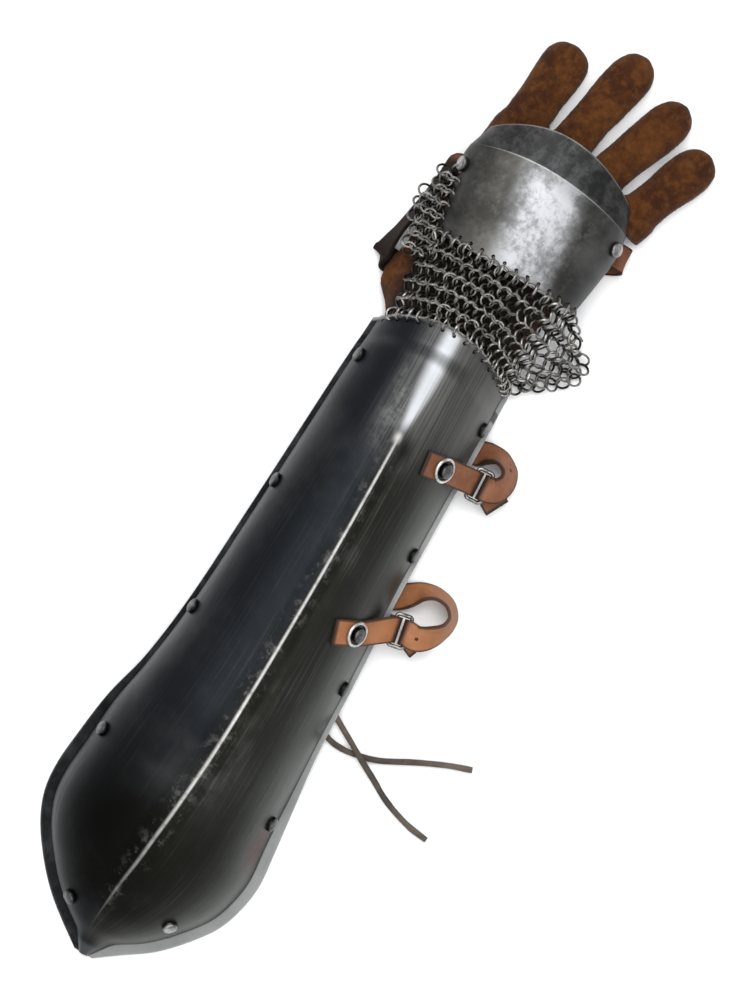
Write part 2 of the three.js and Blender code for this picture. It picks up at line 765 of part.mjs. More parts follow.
const handRows = [0, 0.1, 0.25, 0.42, 0.6, 0.75, 0.88, 1, 1.35, 1.7, 2];
const handAngles = [-90, -80, -69, -57, -45, -33, -22, -11, 0, 11, 22, 33, 45, 57, 69, 80, 90];
const handRivets = [
  { name: 'hand_rivet_thumb', along: 0.72, degrees: 74 },
  { name: 'hand_rivet_little', along: 0.77, degrees: -70 },
];

function handEdge(degrees) {
  return handPoint(0, degrees);
}

function makeHandPlate() {
  const outer = handRows.map((along) => handAngles.map((degrees) => handPoint(along, degrees)));
  let plate = toManifold(sheet(outer, offsetGrid(outer, -handWall)));
  for (const row of handRivets) {
    const point = handPoint(row.along, row.degrees);
    plate = plate.subtract(rivetHole(point, handNormal(row.along, row.degrees)));
  }
  for (const hole of edgeHoles(handEdge, -1)) {
    plate = plate.subtract(hole);
  }
  return fromManifold(plate);
}

// How far round each edge the mail reaches, in degrees from the ridge.
const mailAngles = { little: 86, thumb: 60, thumbHand: 82 };

// Mail: one curved sheet from edge to edge, with a loose flap and a strip beside the hand.
function makeMail() {
  const columns = 13;
  const gap = clearance + 0.2;
  const rows = [0, 0.33, 0.67, 1];
  const outer = rows.map((share) => {
    const flap = [1, 0.5].map((reach) => {
      const start = flapPoint(plateEdge(-mailAngles.little), reach);
      const end = flapPoint(handEdge(-mailAngles.little), reach);
      start.x += gap + flapLead;
      end.x -= gap + flapTrail;
      return start.lerp(end, share);
    });
    const band = Array.from({ length: columns }, (_, k) => {
      const across = k / (columns - 1);
      const plateDegrees = THREE.MathUtils.lerp(-mailAngles.little, mailAngles.thumb, across);
      const handDegrees = THREE.MathUtils.lerp(-mailAngles.little, mailAngles.thumbHand, across);
      const start = plateEdge(plateDegrees).add(vec(gap, 0, mailThickness / 3));
      const end = handEdge(handDegrees).add(vec(-gap, 0, mailThickness / 3));
      return start.lerp(end, share);
    });
    return [...flap, ...band];
  });
  const band = toManifold(sheet(outer, offsetGrid(outer, -mailThickness)));
  const stripRows = [-0.25, 0, 0.25, 0.5];
  const strip = stripRows.map((along) => [0, 0.5, 1].map((share) => {
    const top = handPoint(Math.max(0, along), 80);
    return vec(
      handStart + along * handLength,
      top.y + (along < 0 ? -mailThickness : gap * 2 + handWall) + share * stripWidth,
      top.z + mailThickness / 2 - share * share * stripFall,
    );
  }));
  const side = toManifold(sheet(strip, offsetGrid(strip, -mailThickness)));
  return fromManifold(band.add(side));
}

function flapPoint(point, reach) {
  const out = point.clone();
  out.y -= reach * flapReach;
  out.z = THREE.MathUtils.lerp(point.z, mailThickness + clearance, smooth(reach, 0, 0.8));
  return out;
}

// Glove

const palmStart = forearmLength - cuffInset;
const palmLength = knuckleLine - palmStart + 8;
const gloveFloor = strapThickness + clearance;

// A closed ring of the palm: round over the back, flatter underneath.
function palmRing(along, inset) {
  const sides = 20;
  const thumb = handHalfWidth * tableValue(palmSections, 'thumb', along) - inset;
  const little = handHalfWidth * tableValue(palmSections, 'little', along) - inset;
  const top = palmHeight * tableValue(palmSections, 'top', along);
  const middle = top * 0.14;
  const x = palmStart + along * palmLength;
  return Array.from({ length: sides }, (_, k) => {
    const angle = (k / sides) * Math.PI * 2;
    const c = Math.cos(angle);
    const s = Math.sin(angle);
    const y = c * (c > 0 ? thumb : little);
    const height = s > 0 ? (top - middle - inset) * s ** 2.4 : -(middle - inset) * Math.abs(s) ** 0.5;
    return vec(x, y, gloveFloor + middle + height);
  });
}

function palmBody(inset) {
  const shares = [0, 0.06, 0.12, 0.2, 0.3, 0.42, 0.55, 0.68, 0.8, 0.9, 0.97, 1];
  const rings = shares.map((share) => palmRing(share, inset));
  if (inset > 0) {
    rings.unshift(rings[0].map((p) => p.clone().add(vec(-cuffInset, 0, 0))));
    rings.pop();
  }
  return toManifold(loft(rings));
}

// A finger of the glove: round rings along a bent line, slimmer at its base, rounded off at the tip.
function fingerBody(finger, inset) {
  const place = ([ahead, side], z) => vec(knuckleLine + ahead * fingerReach, side * handHalfWidth, z);
  const base = place(finger.base, fingerHeight * 0.46);
  const bend = place(finger.bend, fingerHeight * 0.5);
  const tip = place(finger.tip, fingerHeight * 0.42);
  const curve = new THREE.QuadraticBezierCurve3(base, bend, tip);
  const half = finger.width * handHalfWidth;
  const end = 1 - inset / curve.getLength();
  const shares = [0, 0.2, 0.4, 0.6, 0.78, 0.88, 0.94, 0.98, 0.997];
  const rings = shares.map((share) => {
    const at = share * end;
    const point = curve.getPoint(at);
    const tangent = curve.getTangent(at).setZ(0).normalize();
    const sideways = up.clone().cross(tangent);
    const roundOff = Math.sqrt(Math.max(0, 1 - Math.max(0, (share - 0.78) / 0.22) ** 2.6));
    const slim = 1 - fingerBaseSlimming * (1 - smooth(share, 0.15, 0.6));
    const wide = (half * slim * (1 - 0.06 * share) - inset) * roundOff;
    const high = (fingerHeight * (0.58 - 0.1 * smooth(share, 0, 0.5)) - inset) * (0.35 + 0.65 * roundOff);
    const sides = 12;
    return Array.from({ length: sides }, (_, k) => {
      const angle = (k / sides) * Math.PI * 2;
      return point.clone()
        .addScaledVector(sideways, Math.cos(angle) * wide)
        .addScaledVector(up, Math.sin(angle) * high);
    });
  });
  return toManifold(loft(rings));
}

// The thumb lies folded against the palm's side, under the hand plate's edge.
const foldedThumb = { base: [-0.95, 0.62], bend: [-0.5, 0.94], tip: [-0.22, 0.6], width: 0.19 };

function makeGlove() {
  const block = (height) => {
    const size = forearmLength * 2;
    const box = new THREE.BoxGeometry(size, size, size);
    box.translate(forearmLength, 0, size / 2 + height);
    return toManifold(box);
  };
  const form = (inset) => [...fingers, foldedThumb]
    .map((finger) => fingerBody(finger, inset))
    .reduce((sum, finger) => sum.add(finger), palmBody(inset))
    .intersect(block(inset));
  return fromManifold(form(0).subtract(form(gloveWall)));
}

// The palm strap, from rivet to rivet round under the glove's heel. ahead: share of handLength
// from the hand plate's wrist edge; side: share of handHalfWidth; rise: share of handEdgeHeight.
const palmStrapRows = [
  { ahead: 0.62, side: 0.85, rise: 0.84, turn: 182, lean: 4 },
  { ahead: 0.6, side: 0.96, rise: 0.66, turn: 188, lean: 14 },
  { ahead: 0.46, side: 1.0, rise: 0.56, turn: 222, lean: 56 },
  { ahead: 0.26, side: 1.04, rise: 0.47, turn: 250, lean: 68 },
  { ahead: -0.08, side: 1.12, rise: 0.43, turn: 268, lean: 70 },
  { ahead: -0.31, side: 1.16, rise: 0.44, turn: 252, lean: 52 },
  { ahead: -0.38, side: 1.15, rise: 0.36, turn: 222, lean: 8 },
  { ahead: -0.38, side: 1.02, rise: 0.14, turn: 210, lean: -2 },
  { ahead: -0.42, side: 0.8, rise: 0.075, turn: 208, lean: 0 },
  { ahead: 0.0, side: 0.1, rise: 0.075, turn: 212, lean: 0 },
  { ahead: 0.48, side: -0.78, rise: 0.08, turn: 208, lean: 0 },
  { ahead: 0.61, side: -1.12, rise: 0.22, turn: 192, lean: 0 },
  { ahead: 0.65, side: -1.2, rise: 0.48, turn: 184, lean: 0 },
  { ahead: 0.65, side: -1.13, rise: 0.73, turn: 180, lean: 0 },
  { ahead: 0.65, side: -1.03, rise: 0.85, turn: 180, lean: 0 },
];

function makePalmStrap() {
  const inside = (row, step) => {
    const degrees = row.degrees + step;
    const normal = handNormal(row.along, degrees);
    return underWall(handPoint(row.along, degrees), normal, handWall + palmStrapGap, vec(-1, 0, 0));
  };
  const stations = [
    inside(handRivets[0], -10),
    inside(handRivets[0], 0),
    inside(handRivets[0], 10),
    ...palmStrapRows.map((row) => ({
      point: vec(
        handStart + row.ahead * handLength,
        row.side * handHalfWidth,
        row.rise * handEdgeHeight,
      ),
      across: widthDirection(row.turn, row.lean),
    })),
    inside(handRivets[1], -10),
    inside(handRivets[1], 0),
    inside(handRivets[1], 12),
  ];
  let strap = toManifold(ribbon(refine(stations, 2), strapWidth, strapThickness));
  for (const row of handRivets) {
    const point = handPoint(row.along, row.degrees);
    strap = strap.subtract(rivetHole(point, handNormal(row.along, row.degrees)));
  }
  return fromManifold(strap);
}

// Assembly

const part = new THREE.Group();

function finish(color, roughness, metalness) {
  return { color, roughness, metalness };
}

const blackSteel = finish(0x2b2d2e, 0.42, 0.85);
const brightSteel = finish(0x85878a, 0.38, 0.9);
const handSteel = finish(0x5c5c5c, 0.4, 0.9);
const tanLeather = finish(0x8a5a38, 0.65, 0);
const darkLeather = finish(0x3a2a20, 0.75, 0);
const suede = finish(0x6b3a17, 0.95, 0);

function add(name, geometry, look) {
  const mesh = new THREE.Mesh(geometry, new THREE.MeshStandardMaterial(look));
  mesh.name = name;
  part.add(mesh);
  return mesh;
}

add('forearm_plate', makeForearmPlate(), blackSteel);
add('hand_plate', makeHandPlate(), handSteel);
add('mail', makeMail(), brightSteel);
add('glove', makeGlove(), suede);
add('palm_strap', makePalmStrap(), tanLeather);

const strapped = plateWall + clearance * 2 + strapThickness;
const bare = plateWall + clearance;

thumbRivets.forEach((row, k) => {
  const held = straps.some((strap) => strap.farRivet === k);
  const point = platePoint(row.along, row.angle);
  const normal = plateNormal(row.along, row.angle);
  add(`forearm_rivet_thumb_${k + 1}`, makeRivet(point, normal, clearance, held ? strapped : bare), blackSteel);
});
littleRivets.forEach((row, k) => {
  const point = platePoint(row.along, -row.angle);
  const normal = plateNormal(row.along, -row.angle);
  const held = k === 2;
  add(`forearm_rivet_little_${k + 1}`, makeRivet(point, normal, clearance, held ? strapped : bare), blackSteel);
});
handRivets.forEach((row) => {
  const point = handPoint(row.along, row.degrees);
  const normal = handNormal(row.along, row.degrees);
  add(row.name, makeRivet(point, normal, clearance, handWall + handTailGap + strapThickness), brightSteel);
});
straps.forEach((strap) => {
  const point = platePoint(strap.along, -strap.angle);
  const normal = plateNormal(strap.along, -strap.angle);
  const top = clearance * 2 + strapThickness;
  add(`${strap.name}_short`, makeShortStrap(strap), tanLeather);
  add(`${strap.name}_long`, makeLongStrap(strap), tanLeather);
  add(`${strap.name}_wire_loop`, makeWireLoop(strap), blackSteel);
  add(`${strap.name}_washer`, makeWasher(point, normal, top), brightSteel);
  add(`${strap.name}_rivet`, makeRivet(point, normal, top + washerHeight + clearance, bare), blackSteel);
});
add('lace_tab', makeLaceTab(), darkLeather);
for (const [name, points] of Object.entries(laceRoutes)) {
  add(name, makeLace(points), darkLeather);
}

// The origin is on the resting surface, under the middle of everything but the laces.
const reach = new THREE.Box3();
part.children
  .filter((mesh) => !(mesh.name in laceRoutes))
  .forEach((mesh) => reach.expandByObject(mesh));
const middle = reach.getCenter(vec(0, 0, 0));
part.position.set(-middle.x, -middle.y, -reach.min.z);

export default part;
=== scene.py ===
import math
import random
import bpy
from mathutils import Matrix, Vector, noise


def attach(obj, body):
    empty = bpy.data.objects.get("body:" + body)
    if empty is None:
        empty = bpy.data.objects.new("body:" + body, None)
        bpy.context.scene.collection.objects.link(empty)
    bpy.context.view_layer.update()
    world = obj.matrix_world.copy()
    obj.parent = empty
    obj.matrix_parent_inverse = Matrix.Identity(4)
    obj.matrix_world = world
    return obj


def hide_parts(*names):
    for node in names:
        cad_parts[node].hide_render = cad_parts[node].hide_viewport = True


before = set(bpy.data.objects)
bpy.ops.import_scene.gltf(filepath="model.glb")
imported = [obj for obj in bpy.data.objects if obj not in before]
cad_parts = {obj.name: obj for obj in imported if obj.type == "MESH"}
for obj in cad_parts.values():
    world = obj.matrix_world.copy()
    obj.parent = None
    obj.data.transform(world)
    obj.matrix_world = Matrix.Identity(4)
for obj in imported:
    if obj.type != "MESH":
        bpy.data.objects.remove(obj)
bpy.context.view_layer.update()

# Lengths in the settings are millimetres from the elbow tip, the middle line and the surface.
frameShift = Vector((-293.671, 8.503, 0))
random.seed(7)


def toRow(point):
    return (Vector(point) + frameShift) / 1000


def smooth(value, low, high):
    t = min(1, max(0, (value - low) / (high - low)))
    return t * t * (3 - 2 * t)


# A table's column at any place between its rows, as a smooth curve through them.
def tableValue(rows, column, at):
    last = len(rows) - 1
    i = 0
    while i < last - 1 and at > rows[i + 1][0]:
        i += 1

    def slope(k):
        a, b = rows[max(0, k - 1)], rows[min(last, k + 1)]
        return (b[column] - a[column]) / (b[0] - a[0])

    span = rows[i + 1][0] - rows[i][0]
    t = min(1, max(0, (at - rows[i][0]) / span))
    return ((2 * t**3 - 3 * t**2 + 1) * rows[i][column] + (t**3 - 2 * t**2 + t) * span * slope(i)
            + (3 * t**2 - 2 * t**3) * rows[i + 1][column] + (t**3 - t**2) * span * slope(i + 1))


# Camera and light

view = {"centre": (299.4, -9.3), "up": (0.857, 0.515), "frameHeight": 550, "lens": 100, "aimHeight": 18}


def setCamera():
    data = bpy.data.cameras.new("camera")
    data.lens = view["lens"]
    data.sensor_width = 36
    data.clip_end = 20
    camera = bpy.data.objects.new("camera", data)
    bpy.context.collection.objects.link(camera)
    up = Vector((*view["up"], 0)).normalized()
    right = up.cross(Vector((0, 0, 1)))
    turn = Matrix((right, up, Vector((0, 0, 1)))).transposed()
    distance = view["frameHeight"] / 1000 * data.lens / data.sensor_width
    place = toRow((*view["centre"], view["aimHeight"])) + Vector((0, 0, distance))
    camera.matrix_world = Matrix.Translation(place) @ turn.to_4x4()
    bpy.context.scene.camera = camera


setCamera()
print("camera set")


# Shared modelling steps

def startClean():
    if bpy.context.object and bpy.context.object.mode != "OBJECT":
        bpy.ops.object.mode_set(mode="OBJECT")
    bpy.ops.object.select_all(action="DESELECT")


def makeActive(piece):
    startClean()
    piece.select_set(True)
    bpy.context.view_layer.objects.active = piece


# A grid whose own 0 to 1 places are moved onto a surface. It keeps them as its UV map.
def gridPiece(name, along, across, pointAt, shadeAt=None):
    startClean()
    bpy.ops.mesh.primitive_grid_add(x_subdivisions=along, y_subdivisions=across, size=2, location=(0, 0, 0))
    piece = bpy.context.object
    piece.name = name
    places = [((vertex.co.x + 1) / 2, (vertex.co.y + 1) / 2) for vertex in piece.data.vertices]
    for vertex, place in zip(piece.data.vertices, places):
        vertex.co = toRow(pointAt(*place))
    if shadeAt:
        shaded(piece, [shadeAt(*place) for place in places])
    return piece


# How dark each point is painted, from 0 to 1, for the finishes that read it: mostly painted shade, and
# burnished ends on straps.
def shaded(piece, values):
    shade = piece.data.attributes.new("shade", "FLOAT", "POINT")
    for entry, value in zip(shade.data, values):
        entry.value = value


def weld(piece, distance):
    makeActive(piece)
    bpy.ops.object.mode_set(mode="EDIT")
    bpy.ops.mesh.select_all(action="SELECT")
    bpy.ops.mesh.remove_doubles(threshold=distance)
    bpy.ops.mesh.normals_make_consistent(inside=False)
    bpy.ops.object.mode_set(mode="OBJECT")


# Welds a tube's seam and puts a flat face on each of its open ends.
def closeTube(piece):
    weld(piece, 0.00002)
    bpy.ops.object.mode_set(mode="EDIT")
    bpy.ops.mesh.select_all(action="DESELECT")
    bpy.ops.mesh.select_non_manifold()
    bpy.ops.mesh.edge_face_add()
    bpy.ops.mesh.select_all(action="SELECT")
    bpy.ops.mesh.normals_make_consistent(inside=False)
    bpy.ops.object.mode_set(mode="OBJECT")


def applyModifier(piece, kind, **settings):
    makeActive(piece)
    modifier = piece.modifiers.new(kind.lower(), kind)
    for key, value in settings.items():
        setattr(modifier, key, value)
    bpy.ops.object.modifier_apply(modifier=modifier.name)


def joined(pieces, name):
    startClean()
    for piece in pieces:
        piece.select_set(True)
    bpy.context.view_layer.objects.active = pieces[0]
    bpy.ops.object.join()
    pieces[0].name = name
    return pieces[0]


def copyOf(piece, matrix):
    copy = piece.copy()
    copy.data = piece.data.copy()
    bpy.context.collection.objects.link(copy)
    copy.data.transform(matrix)
    return copy


def dropped(piece):
    bpy.data.objects.remove(piece, do_unlink=True)


# Turns +Z to the normal and puts the foot at the point, both in the tip frame.
def standing(point, normal, spin=0):
    turn = Vector((0, 0, 1)).rotation_difference(Vector(normal)).to_matrix().to_4x4()
    return Matrix.Translation(toRow(point)) @ turn @ Matrix.Rotation(spin, 4, "Z")


def finished(piece, finish, nodes=(), angle=40):
    makeActive(piece)
    bpy.ops.object.transform_apply(location=True, rotation=True, scale=True)
    bpy.ops.object.shade_smooth_by_angle(angle=math.radians(angle))
    piece.data.materials.clear()
    piece.data.materials.append(finish)
    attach(piece, "root")
    if nodes:
        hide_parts(*nodes)
    return piece


# A turned piece round Z from (radius, height) steps in millimetres, by extruding ring after ring.
def turned(name, steps, sides):
    startClean()
    radius, height = steps[0]
    bpy.ops.mesh.primitive_circle_add(vertices=sides, radius=radius / 1000, fill_type="NGON",
                                      location=(0, 0, height / 1000))
    piece = bpy.context.object
    piece.name = name
    bpy.ops.object.transform_apply(location=True)
    bpy.ops.object.mode_set(mode="EDIT")
    bpy.ops.mesh.select_all(action="SELECT")
    for before, after in zip(steps, steps[1:]):
        step = (0, 0, (after[1] - before[1]) / 1000)
        bpy.ops.mesh.extrude_region_move(TRANSFORM_OT_translate={"value": step})
        share = after[0] / before[0]
        bpy.ops.transform.resize(value=(share, share, 1), center_override=(0, 0, after[1] / 1000))
    bpy.ops.mesh.select_all(action="SELECT")
    bpy.ops.mesh.normals_make_consistent(inside=False)
    bpy.ops.object.mode_set(mode="OBJECT")
    return piece


# Materials

class Value:
    def __init__(self, finish, socket):
        self.finish = finish
        self.socket = socket

    def math(self, operation, first, second=0.0):
        return self.finish.node("ShaderNodeMath", {"operation": operation}, {0: first, 1: second})

    def __add__(self, other): return self.math("ADD", self, other)
    def __radd__(self, other): return self.math("ADD", other, self)
    def __sub__(self, other): return self.math("SUBTRACT", self, other)
    def __rsub__(self, other): return self.math("SUBTRACT", other, self)
    def __mul__(self, other): return self.math("MULTIPLY", self, other)
    def __rmul__(self, other): return self.math("MULTIPLY", other, self)
    def __abs__(self): return self.math("ABSOLUTE", self)


class Finish:
    def __init__(self, name, **constants):
        self.material = bpy.data.materials.new(name)
        self.material.use_nodes = True
        self.tree = self.material.node_tree
        self.shader = self.tree.nodes["Principled BSDF"]
        for key, value in constants.items():
            self.shader.inputs[key.replace("_", " ")].default_value = value

    def join(self, socket, value):
        if isinstance(value, Value):
            self.tree.links.new(value.socket, socket)
        elif isinstance(value, tuple) and len(value) == 3 and socket.type == "RGBA":
            socket.default_value = (*value, 1)
        else:
            socket.default_value = value

    def node(self, kind, settings, sockets, out=0):
        made = self.tree.nodes.new(kind)
        for key, value in settings.items():
            setattr(made, key, value)
        for key, value in sockets.items():
            self.join(made.inputs[key], value)
        return Value(self, made.outputs[out])

    def place(self):
        return self.node("ShaderNodeTexCoord", {}, {}, "Object")

    def surface(self, scale=(1, 1, 1)):
        at = self.node("ShaderNodeTexCoord", {}, {}, "UV")
        return self.node("ShaderNodeMapping", {}, {"Vector": at, "Scale": scale})

    def part(self, vector, axis):
        return self.node("ShaderNodeSeparateXYZ", {}, {0: vector}, axis)

    def noise(self, at, scale, detail=4.0, rough=0.55, warp=0.0):
        return self.node("ShaderNodeTexNoise", {}, {"Vector": at, "Scale": scale, "Detail": detail,
                                                    "Roughness": rough, "Distortion": warp}, "Fac")

    def cells(self, at, scale):
        return self.node("ShaderNodeTexVoronoi", {}, {"Vector": at, "Scale": scale}, "Distance")

    def span(self, value, low, high, start=0.0, end=1.0):
        return self.node("ShaderNodeMapRange", {"interpolation_type": "SMOOTHSTEP"},
                         {"Value": value, "From Min": low, "From Max": high, "To Min": start, "To Max": end})

    def hump(self, value, middle, reach):
        return self.span(abs(value - middle), reach, 0.0)

    def mix(self, factor, first, second, blend="MIX"):
        return self.node("ShaderNodeMix", {"data_type": "RGBA", "blend_type": blend},
                         {0: factor, 6: first, 7: second}, 2)

    def bump(self, height, strength, depth, under=None):
        sockets = {"Height": height, "Strength": strength, "Distance": depth}
        if under:
            sockets["Normal"] = under
        return self.node("ShaderNodeBump", {}, sockets)

    def wear(self, **links):
        for key, value in links.items():
            self.join(self.shader.inputs[key.replace("_", " ")], value)
        return self.material


def plateFinish():
    f = Finish("blackened steel", Metallic=1.0)
    at = f.place()
    uv = f.surface()
    along = f.part(uv, "X")
    across = f.part(uv, "Y")
    streak = f.noise(f.surface((5, 130, 1)), 1.0, 6.0, 0.62)
    fineStreak = f.noise(f.surface((14, 420, 1)), 1.0, 3.0, 0.6)
    cloud = f.noise(at, 15.0, 4.0, 0.6)
    blotch = f.noise(at, 45.0, 6.0, 0.68)
    grit = f.noise(at, 900.0, 3.0, 0.6)
    littleSide = f.span(across, 0.52, 0.48)
    # the thumb flank is blue-black, the other goes from olive black to grey at its edge
    thumb = f.mix(f.span(across, 0.78, 0.94), (0.016, 0.018, 0.021), (0.05, 0.054, 0.058))
    little = f.mix(f.span(across, 0.44, 0.12), (0.02, 0.02, 0.017), (0.105, 0.11, 0.103))
    color = f.mix(littleSide, thumb, little)
    color = f.mix(f.span(cloud, 0.45, 0.7) * 0.3, color, (0.075, 0.077, 0.077))
    color = f.mix(f.span(streak, 0.52, 0.74) * (0.12 + 0.4 * littleSide), color, (0.13, 0.13, 0.122))
    color = f.mix(f.span(streak, 0.46, 0.3) * 0.4 * littleSide, color, (0.02, 0.02, 0.017))
    # painted dark reflection in the middle of the elbow, with rust beside it, and bright wear along both rims
    # with painted reflection streaks
    elbow = f.span(along, 0.36, 0.2) * f.span(along, 0.03, 0.1)
    middle = f.hump(across + 0.12 * (cloud - 0.5), 0.56, 0.5)
    color = f.mix(elbow * middle * f.span(blotch, 0.2, 0.5, 0.6, 0.95), color, (0.006, 0.006, 0.0045))
    tint = f.hump(along, 0.25, 0.06) * f.hump(across, 0.14, 0.09) * f.span(blotch, 0.35, 0.6)
    color = f.mix(tint * 0.75, color, (0.075, 0.03, 0.022))
    wear = f.hump(across, 0.9, 0.1) * f.hump(along, 0.13, 0.13)
    wear = wear + f.hump(across, 0.1, 0.09) * f.hump(along, 0.13, 0.11) * 0.8
    wearAndSheenStreak = f.noise(f.surface((7, 70, 1)), 1.0, 5.0, 0.65)
    color = f.mix(wear * f.span(wearAndSheenStreak, 0.46, 0.62) * 0.8, color, (0.16, 0.165, 0.17))
    tip = f.span(along, 0.022, 0.012)
    color = f.mix(tip * 0.7, color, (0.1, 0.11, 0.12))
    # the ridge, rubbed bright and with a painted highlight along its line and at its end, with marks beside it
    ridgeLength = f.span(along, 0.04, 0.12) * f.span(along, 0.838, 0.83)
    ridgeNoise = f.noise(f.surface((60, 10, 1)), 1.0, 3.0, 0.6)
    beside = f.hump(across, 0.47, 0.1) * f.span(along, 0.84, 0.8) * f.span(along, 0.1, 0.3)
    color = f.mix(beside * f.span(blotch, 0.4, 0.55) * 0.75, color, (0.012, 0.012, 0.01))
    rub = f.hump(across, 0.5, 0.05) * ridgeLength * f.span(f.noise(at, 150.0, 5.0, 0.7), 0.52, 0.66)
    color = f.mix(rub * 0.4, color, (0.17, 0.165, 0.15))
    ridge = f.hump(across, 0.5, 0.007) * ridgeLength * f.span(ridgeNoise, 0.25, 0.55, 0.45, 1.0)
    ridge = ridge * f.span(along, 0.05, 0.4, 0.35, 1.0)
    color = f.mix(ridge * 0.9, color, (0.5, 0.49, 0.47))
    ridgeEnd = f.hump(along, 0.834, 0.012) * f.hump(across, 0.5, 0.022)
    color = f.mix(ridgeEnd, color, (0.5, 0.49, 0.47))
    # grey streaks over the wrist, and one polished streak down to the ridge that also carries a painted
    # highlight
    wrist = f.span(along, 0.77, 0.9) * f.span(across, 0.66, 0.52)
    color = f.mix(wrist * f.span(streak, 0.34, 0.66, 0.3, 0.8), color, (0.135, 0.135, 0.13))
    spots = f.span(f.noise(at, 75.0, 5.0, 0.72), 0.46, 0.6)
    mottle = f.hump(along, 0.9, 0.12) * f.hump(across, 0.555, 0.07) * spots
    color = f.mix(mottle * 0.6, color, (0.17, 0.17, 0.16))
    reach = 0.02 + 0.03 * f.span(along, 0.83, 0.94)
    fromStreak = abs(across - 0.497 + 0.012 * (streak - 0.5))
    polishedHighlight = f.span(fromStreak, reach, reach * 0.15) * f.span(along, 0.832, 0.87)
    uneven = f.span(streak * 0.4 + cloud * 0.6, 0.25, 0.5, 0.65, 0.95)
    color = f.mix(polishedHighlight * uneven, color, (0.42, 0.43, 0.445))
    # painted shade beside the ridge's end, broken up by blotches
    darkEnd = f.hump(along, 0.822, 0.03) * f.hump(across, 0.455, 0.055) * f.span(blotch, 0.25, 0.45)
    color = f.mix(darkEnd * 0.9, color, (0.012, 0.012, 0.011))
    # the flat rims, with painted shade as a dark line in the crease at their foot, and a worn outer edge
    rimGrey = f.mix(littleSide, (0.007, 0.007, 0.007), (0.2, 0.205, 0.2))
    fromMiddle = abs(across - 0.5)
    rim = f.span(fromMiddle, 0.463, 0.468)
    color = f.mix(rim * f.span(blotch, 0.3, 0.6, 0.55, 0.95), color, rimGrey)
    foot = f.hump(fromMiddle, 0.4635, 0.007)
    color = f.mix(foot * 0.95, color, (0.004, 0.004, 0.005))
    edge = f.span(fromMiddle, 0.493, 0.499)
    color = f.mix(edge * (0.12 + 0.4 * littleSide), color, (0.25, 0.25, 0.25))
    wristEdge = f.span(along, 0.992, 0.998)
    color = f.mix(wristEdge * 0.6, color, (0.3, 0.3, 0.3))
    rough = 0.36 + 0.14 * blotch + 0.08 * fineStreak + 0.08 * f.span(along, 0.75, 0.85)
    normal = f.bump(f.noise(at, 26.0, 2.0, 0.5), 0.4, 0.0022)
    normal = f.bump(f.noise(at, 140.0, 3.0, 0.6), 0.22, 0.0006, normal)
    normal = f.bump(fineStreak + 0.5 * grit, 0.1, 0.00035, normal)
    return f.wear(Base_Color=color, Roughness=rough, Normal=normal)


def handFinish():
    f = Finish("worn hand steel", Metallic=1.0)
    at = f.place()
    uv = f.surface()
    along = f.part(uv, "X")
    across = f.part(uv, "Y")
    cloud = f.noise(at, 34.0, 5.0, 0.65, 0.3)
    blotch = f.noise(at, 105.0, 6.0, 0.74)
    speckle = f.noise(at, 330.0, 4.0, 0.7)
    grit = f.noise(at, 950.0, 3.0, 0.6)
    color = f.mix(f.span(cloud, 0.35, 0.68), (0.034, 0.033, 0.03), (0.085, 0.083, 0.077))
    color = f.mix(f.span(blotch, 0.5, 0.68) * 0.35, color, (0.13, 0.13, 0.125))
    color = f.mix(f.hump(across, 0.12, 0.13) * 0.5, color, (0.12, 0.122, 0.125))
    # the bright worn band, partly a painted highlight, which leans towards the little finger at the wrist
    middle = 0.415 + 0.085 * along
    band = f.span(across - middle, -0.15, -0.07) * f.span(across - middle, 0.17, 0.04)
    band = band * f.span(along, 0.73, 0.58, 0.7, 1.0)
    mottle = f.span(cloud * 0.3 + blotch * 0.5 + speckle * 0.2, 0.4, 0.56)
    color = f.mix(band * (0.3 + 0.62 * mottle), color, (0.36, 0.365, 0.38))
    stain = f.hump(across - 0.04 * (cloud - 0.5), 0.3, 0.06) * f.hump(along, 0.52, 0.3)
    color = f.mix(stain * f.span(blotch, 0.42, 0.56) * 0.85, color, (0.02, 0.02, 0.019))
    # the lip beyond the crease is painted darker as shade on its downturned face; the crease's bright line is
    # rubbed steel with a painted highlight
    lip = f.span(along, 0.728, 0.737)
    lipColor = f.mix(f.span(blotch, 0.4, 0.68), (0.028, 0.028, 0.028), (0.075, 0.075, 0.075))
    color = f.mix(lip * 0.92, color, lipColor)
    crease = f.hump(along, 0.729, 0.008) * f.span(blotch, 0.3, 0.5, 0.35, 1.0) * f.hump(across, 0.46, 0.5)
    color = f.mix(crease * 0.75, color, (0.36, 0.36, 0.36))
    edge = f.span(along, 0.986, 0.995) * f.span(blotch, 0.3, 0.55, 0.3, 1.0)
    edge = edge + f.span(along, 0.012, 0.004) * 0.5 + f.span(abs(across - 0.5), 0.49, 0.497) * 0.5
    color = f.mix(edge * 0.6, color, (0.26, 0.26, 0.26))
    rough = 0.36 + 0.2 * blotch + 0.05 * grit
    normal = f.bump(f.noise(at, 34.0, 2.0, 0.5), 0.4, 0.0016)
    normal = f.bump(blotch, 0.16, 0.0006, normal)
    normal = f.bump(grit, 0.08, 0.0003, normal)
    return f.wear(Base_Color=color, Roughness=rough, Normal=normal)


def ironFinish(name, dark, light, rough=0.4, shadeColor=(0.05, 0.047, 0.042), depth=0.65):
    f = Finish(name, Metallic=1.0)
    at = f.place()
    blotch = f.noise(at, 320.0, 5.0, 0.7)
    color = f.mix(f.span(blotch, 0.35, 0.65), dark, light)
    # painted shade from the piece's shade attribute
    shade = f.node("ShaderNodeAttribute", {"attribute_name": "shade"}, {}, "Fac")
    color = f.mix(shade * depth, color, shadeColor)
    normal = f.bump(f.noise(at, 1400.0, 3.0, 0.6), 0.25, 0.0003)
    return f.wear(Base_Color=color, Roughness=rough + 0.15 * blotch, Normal=normal)


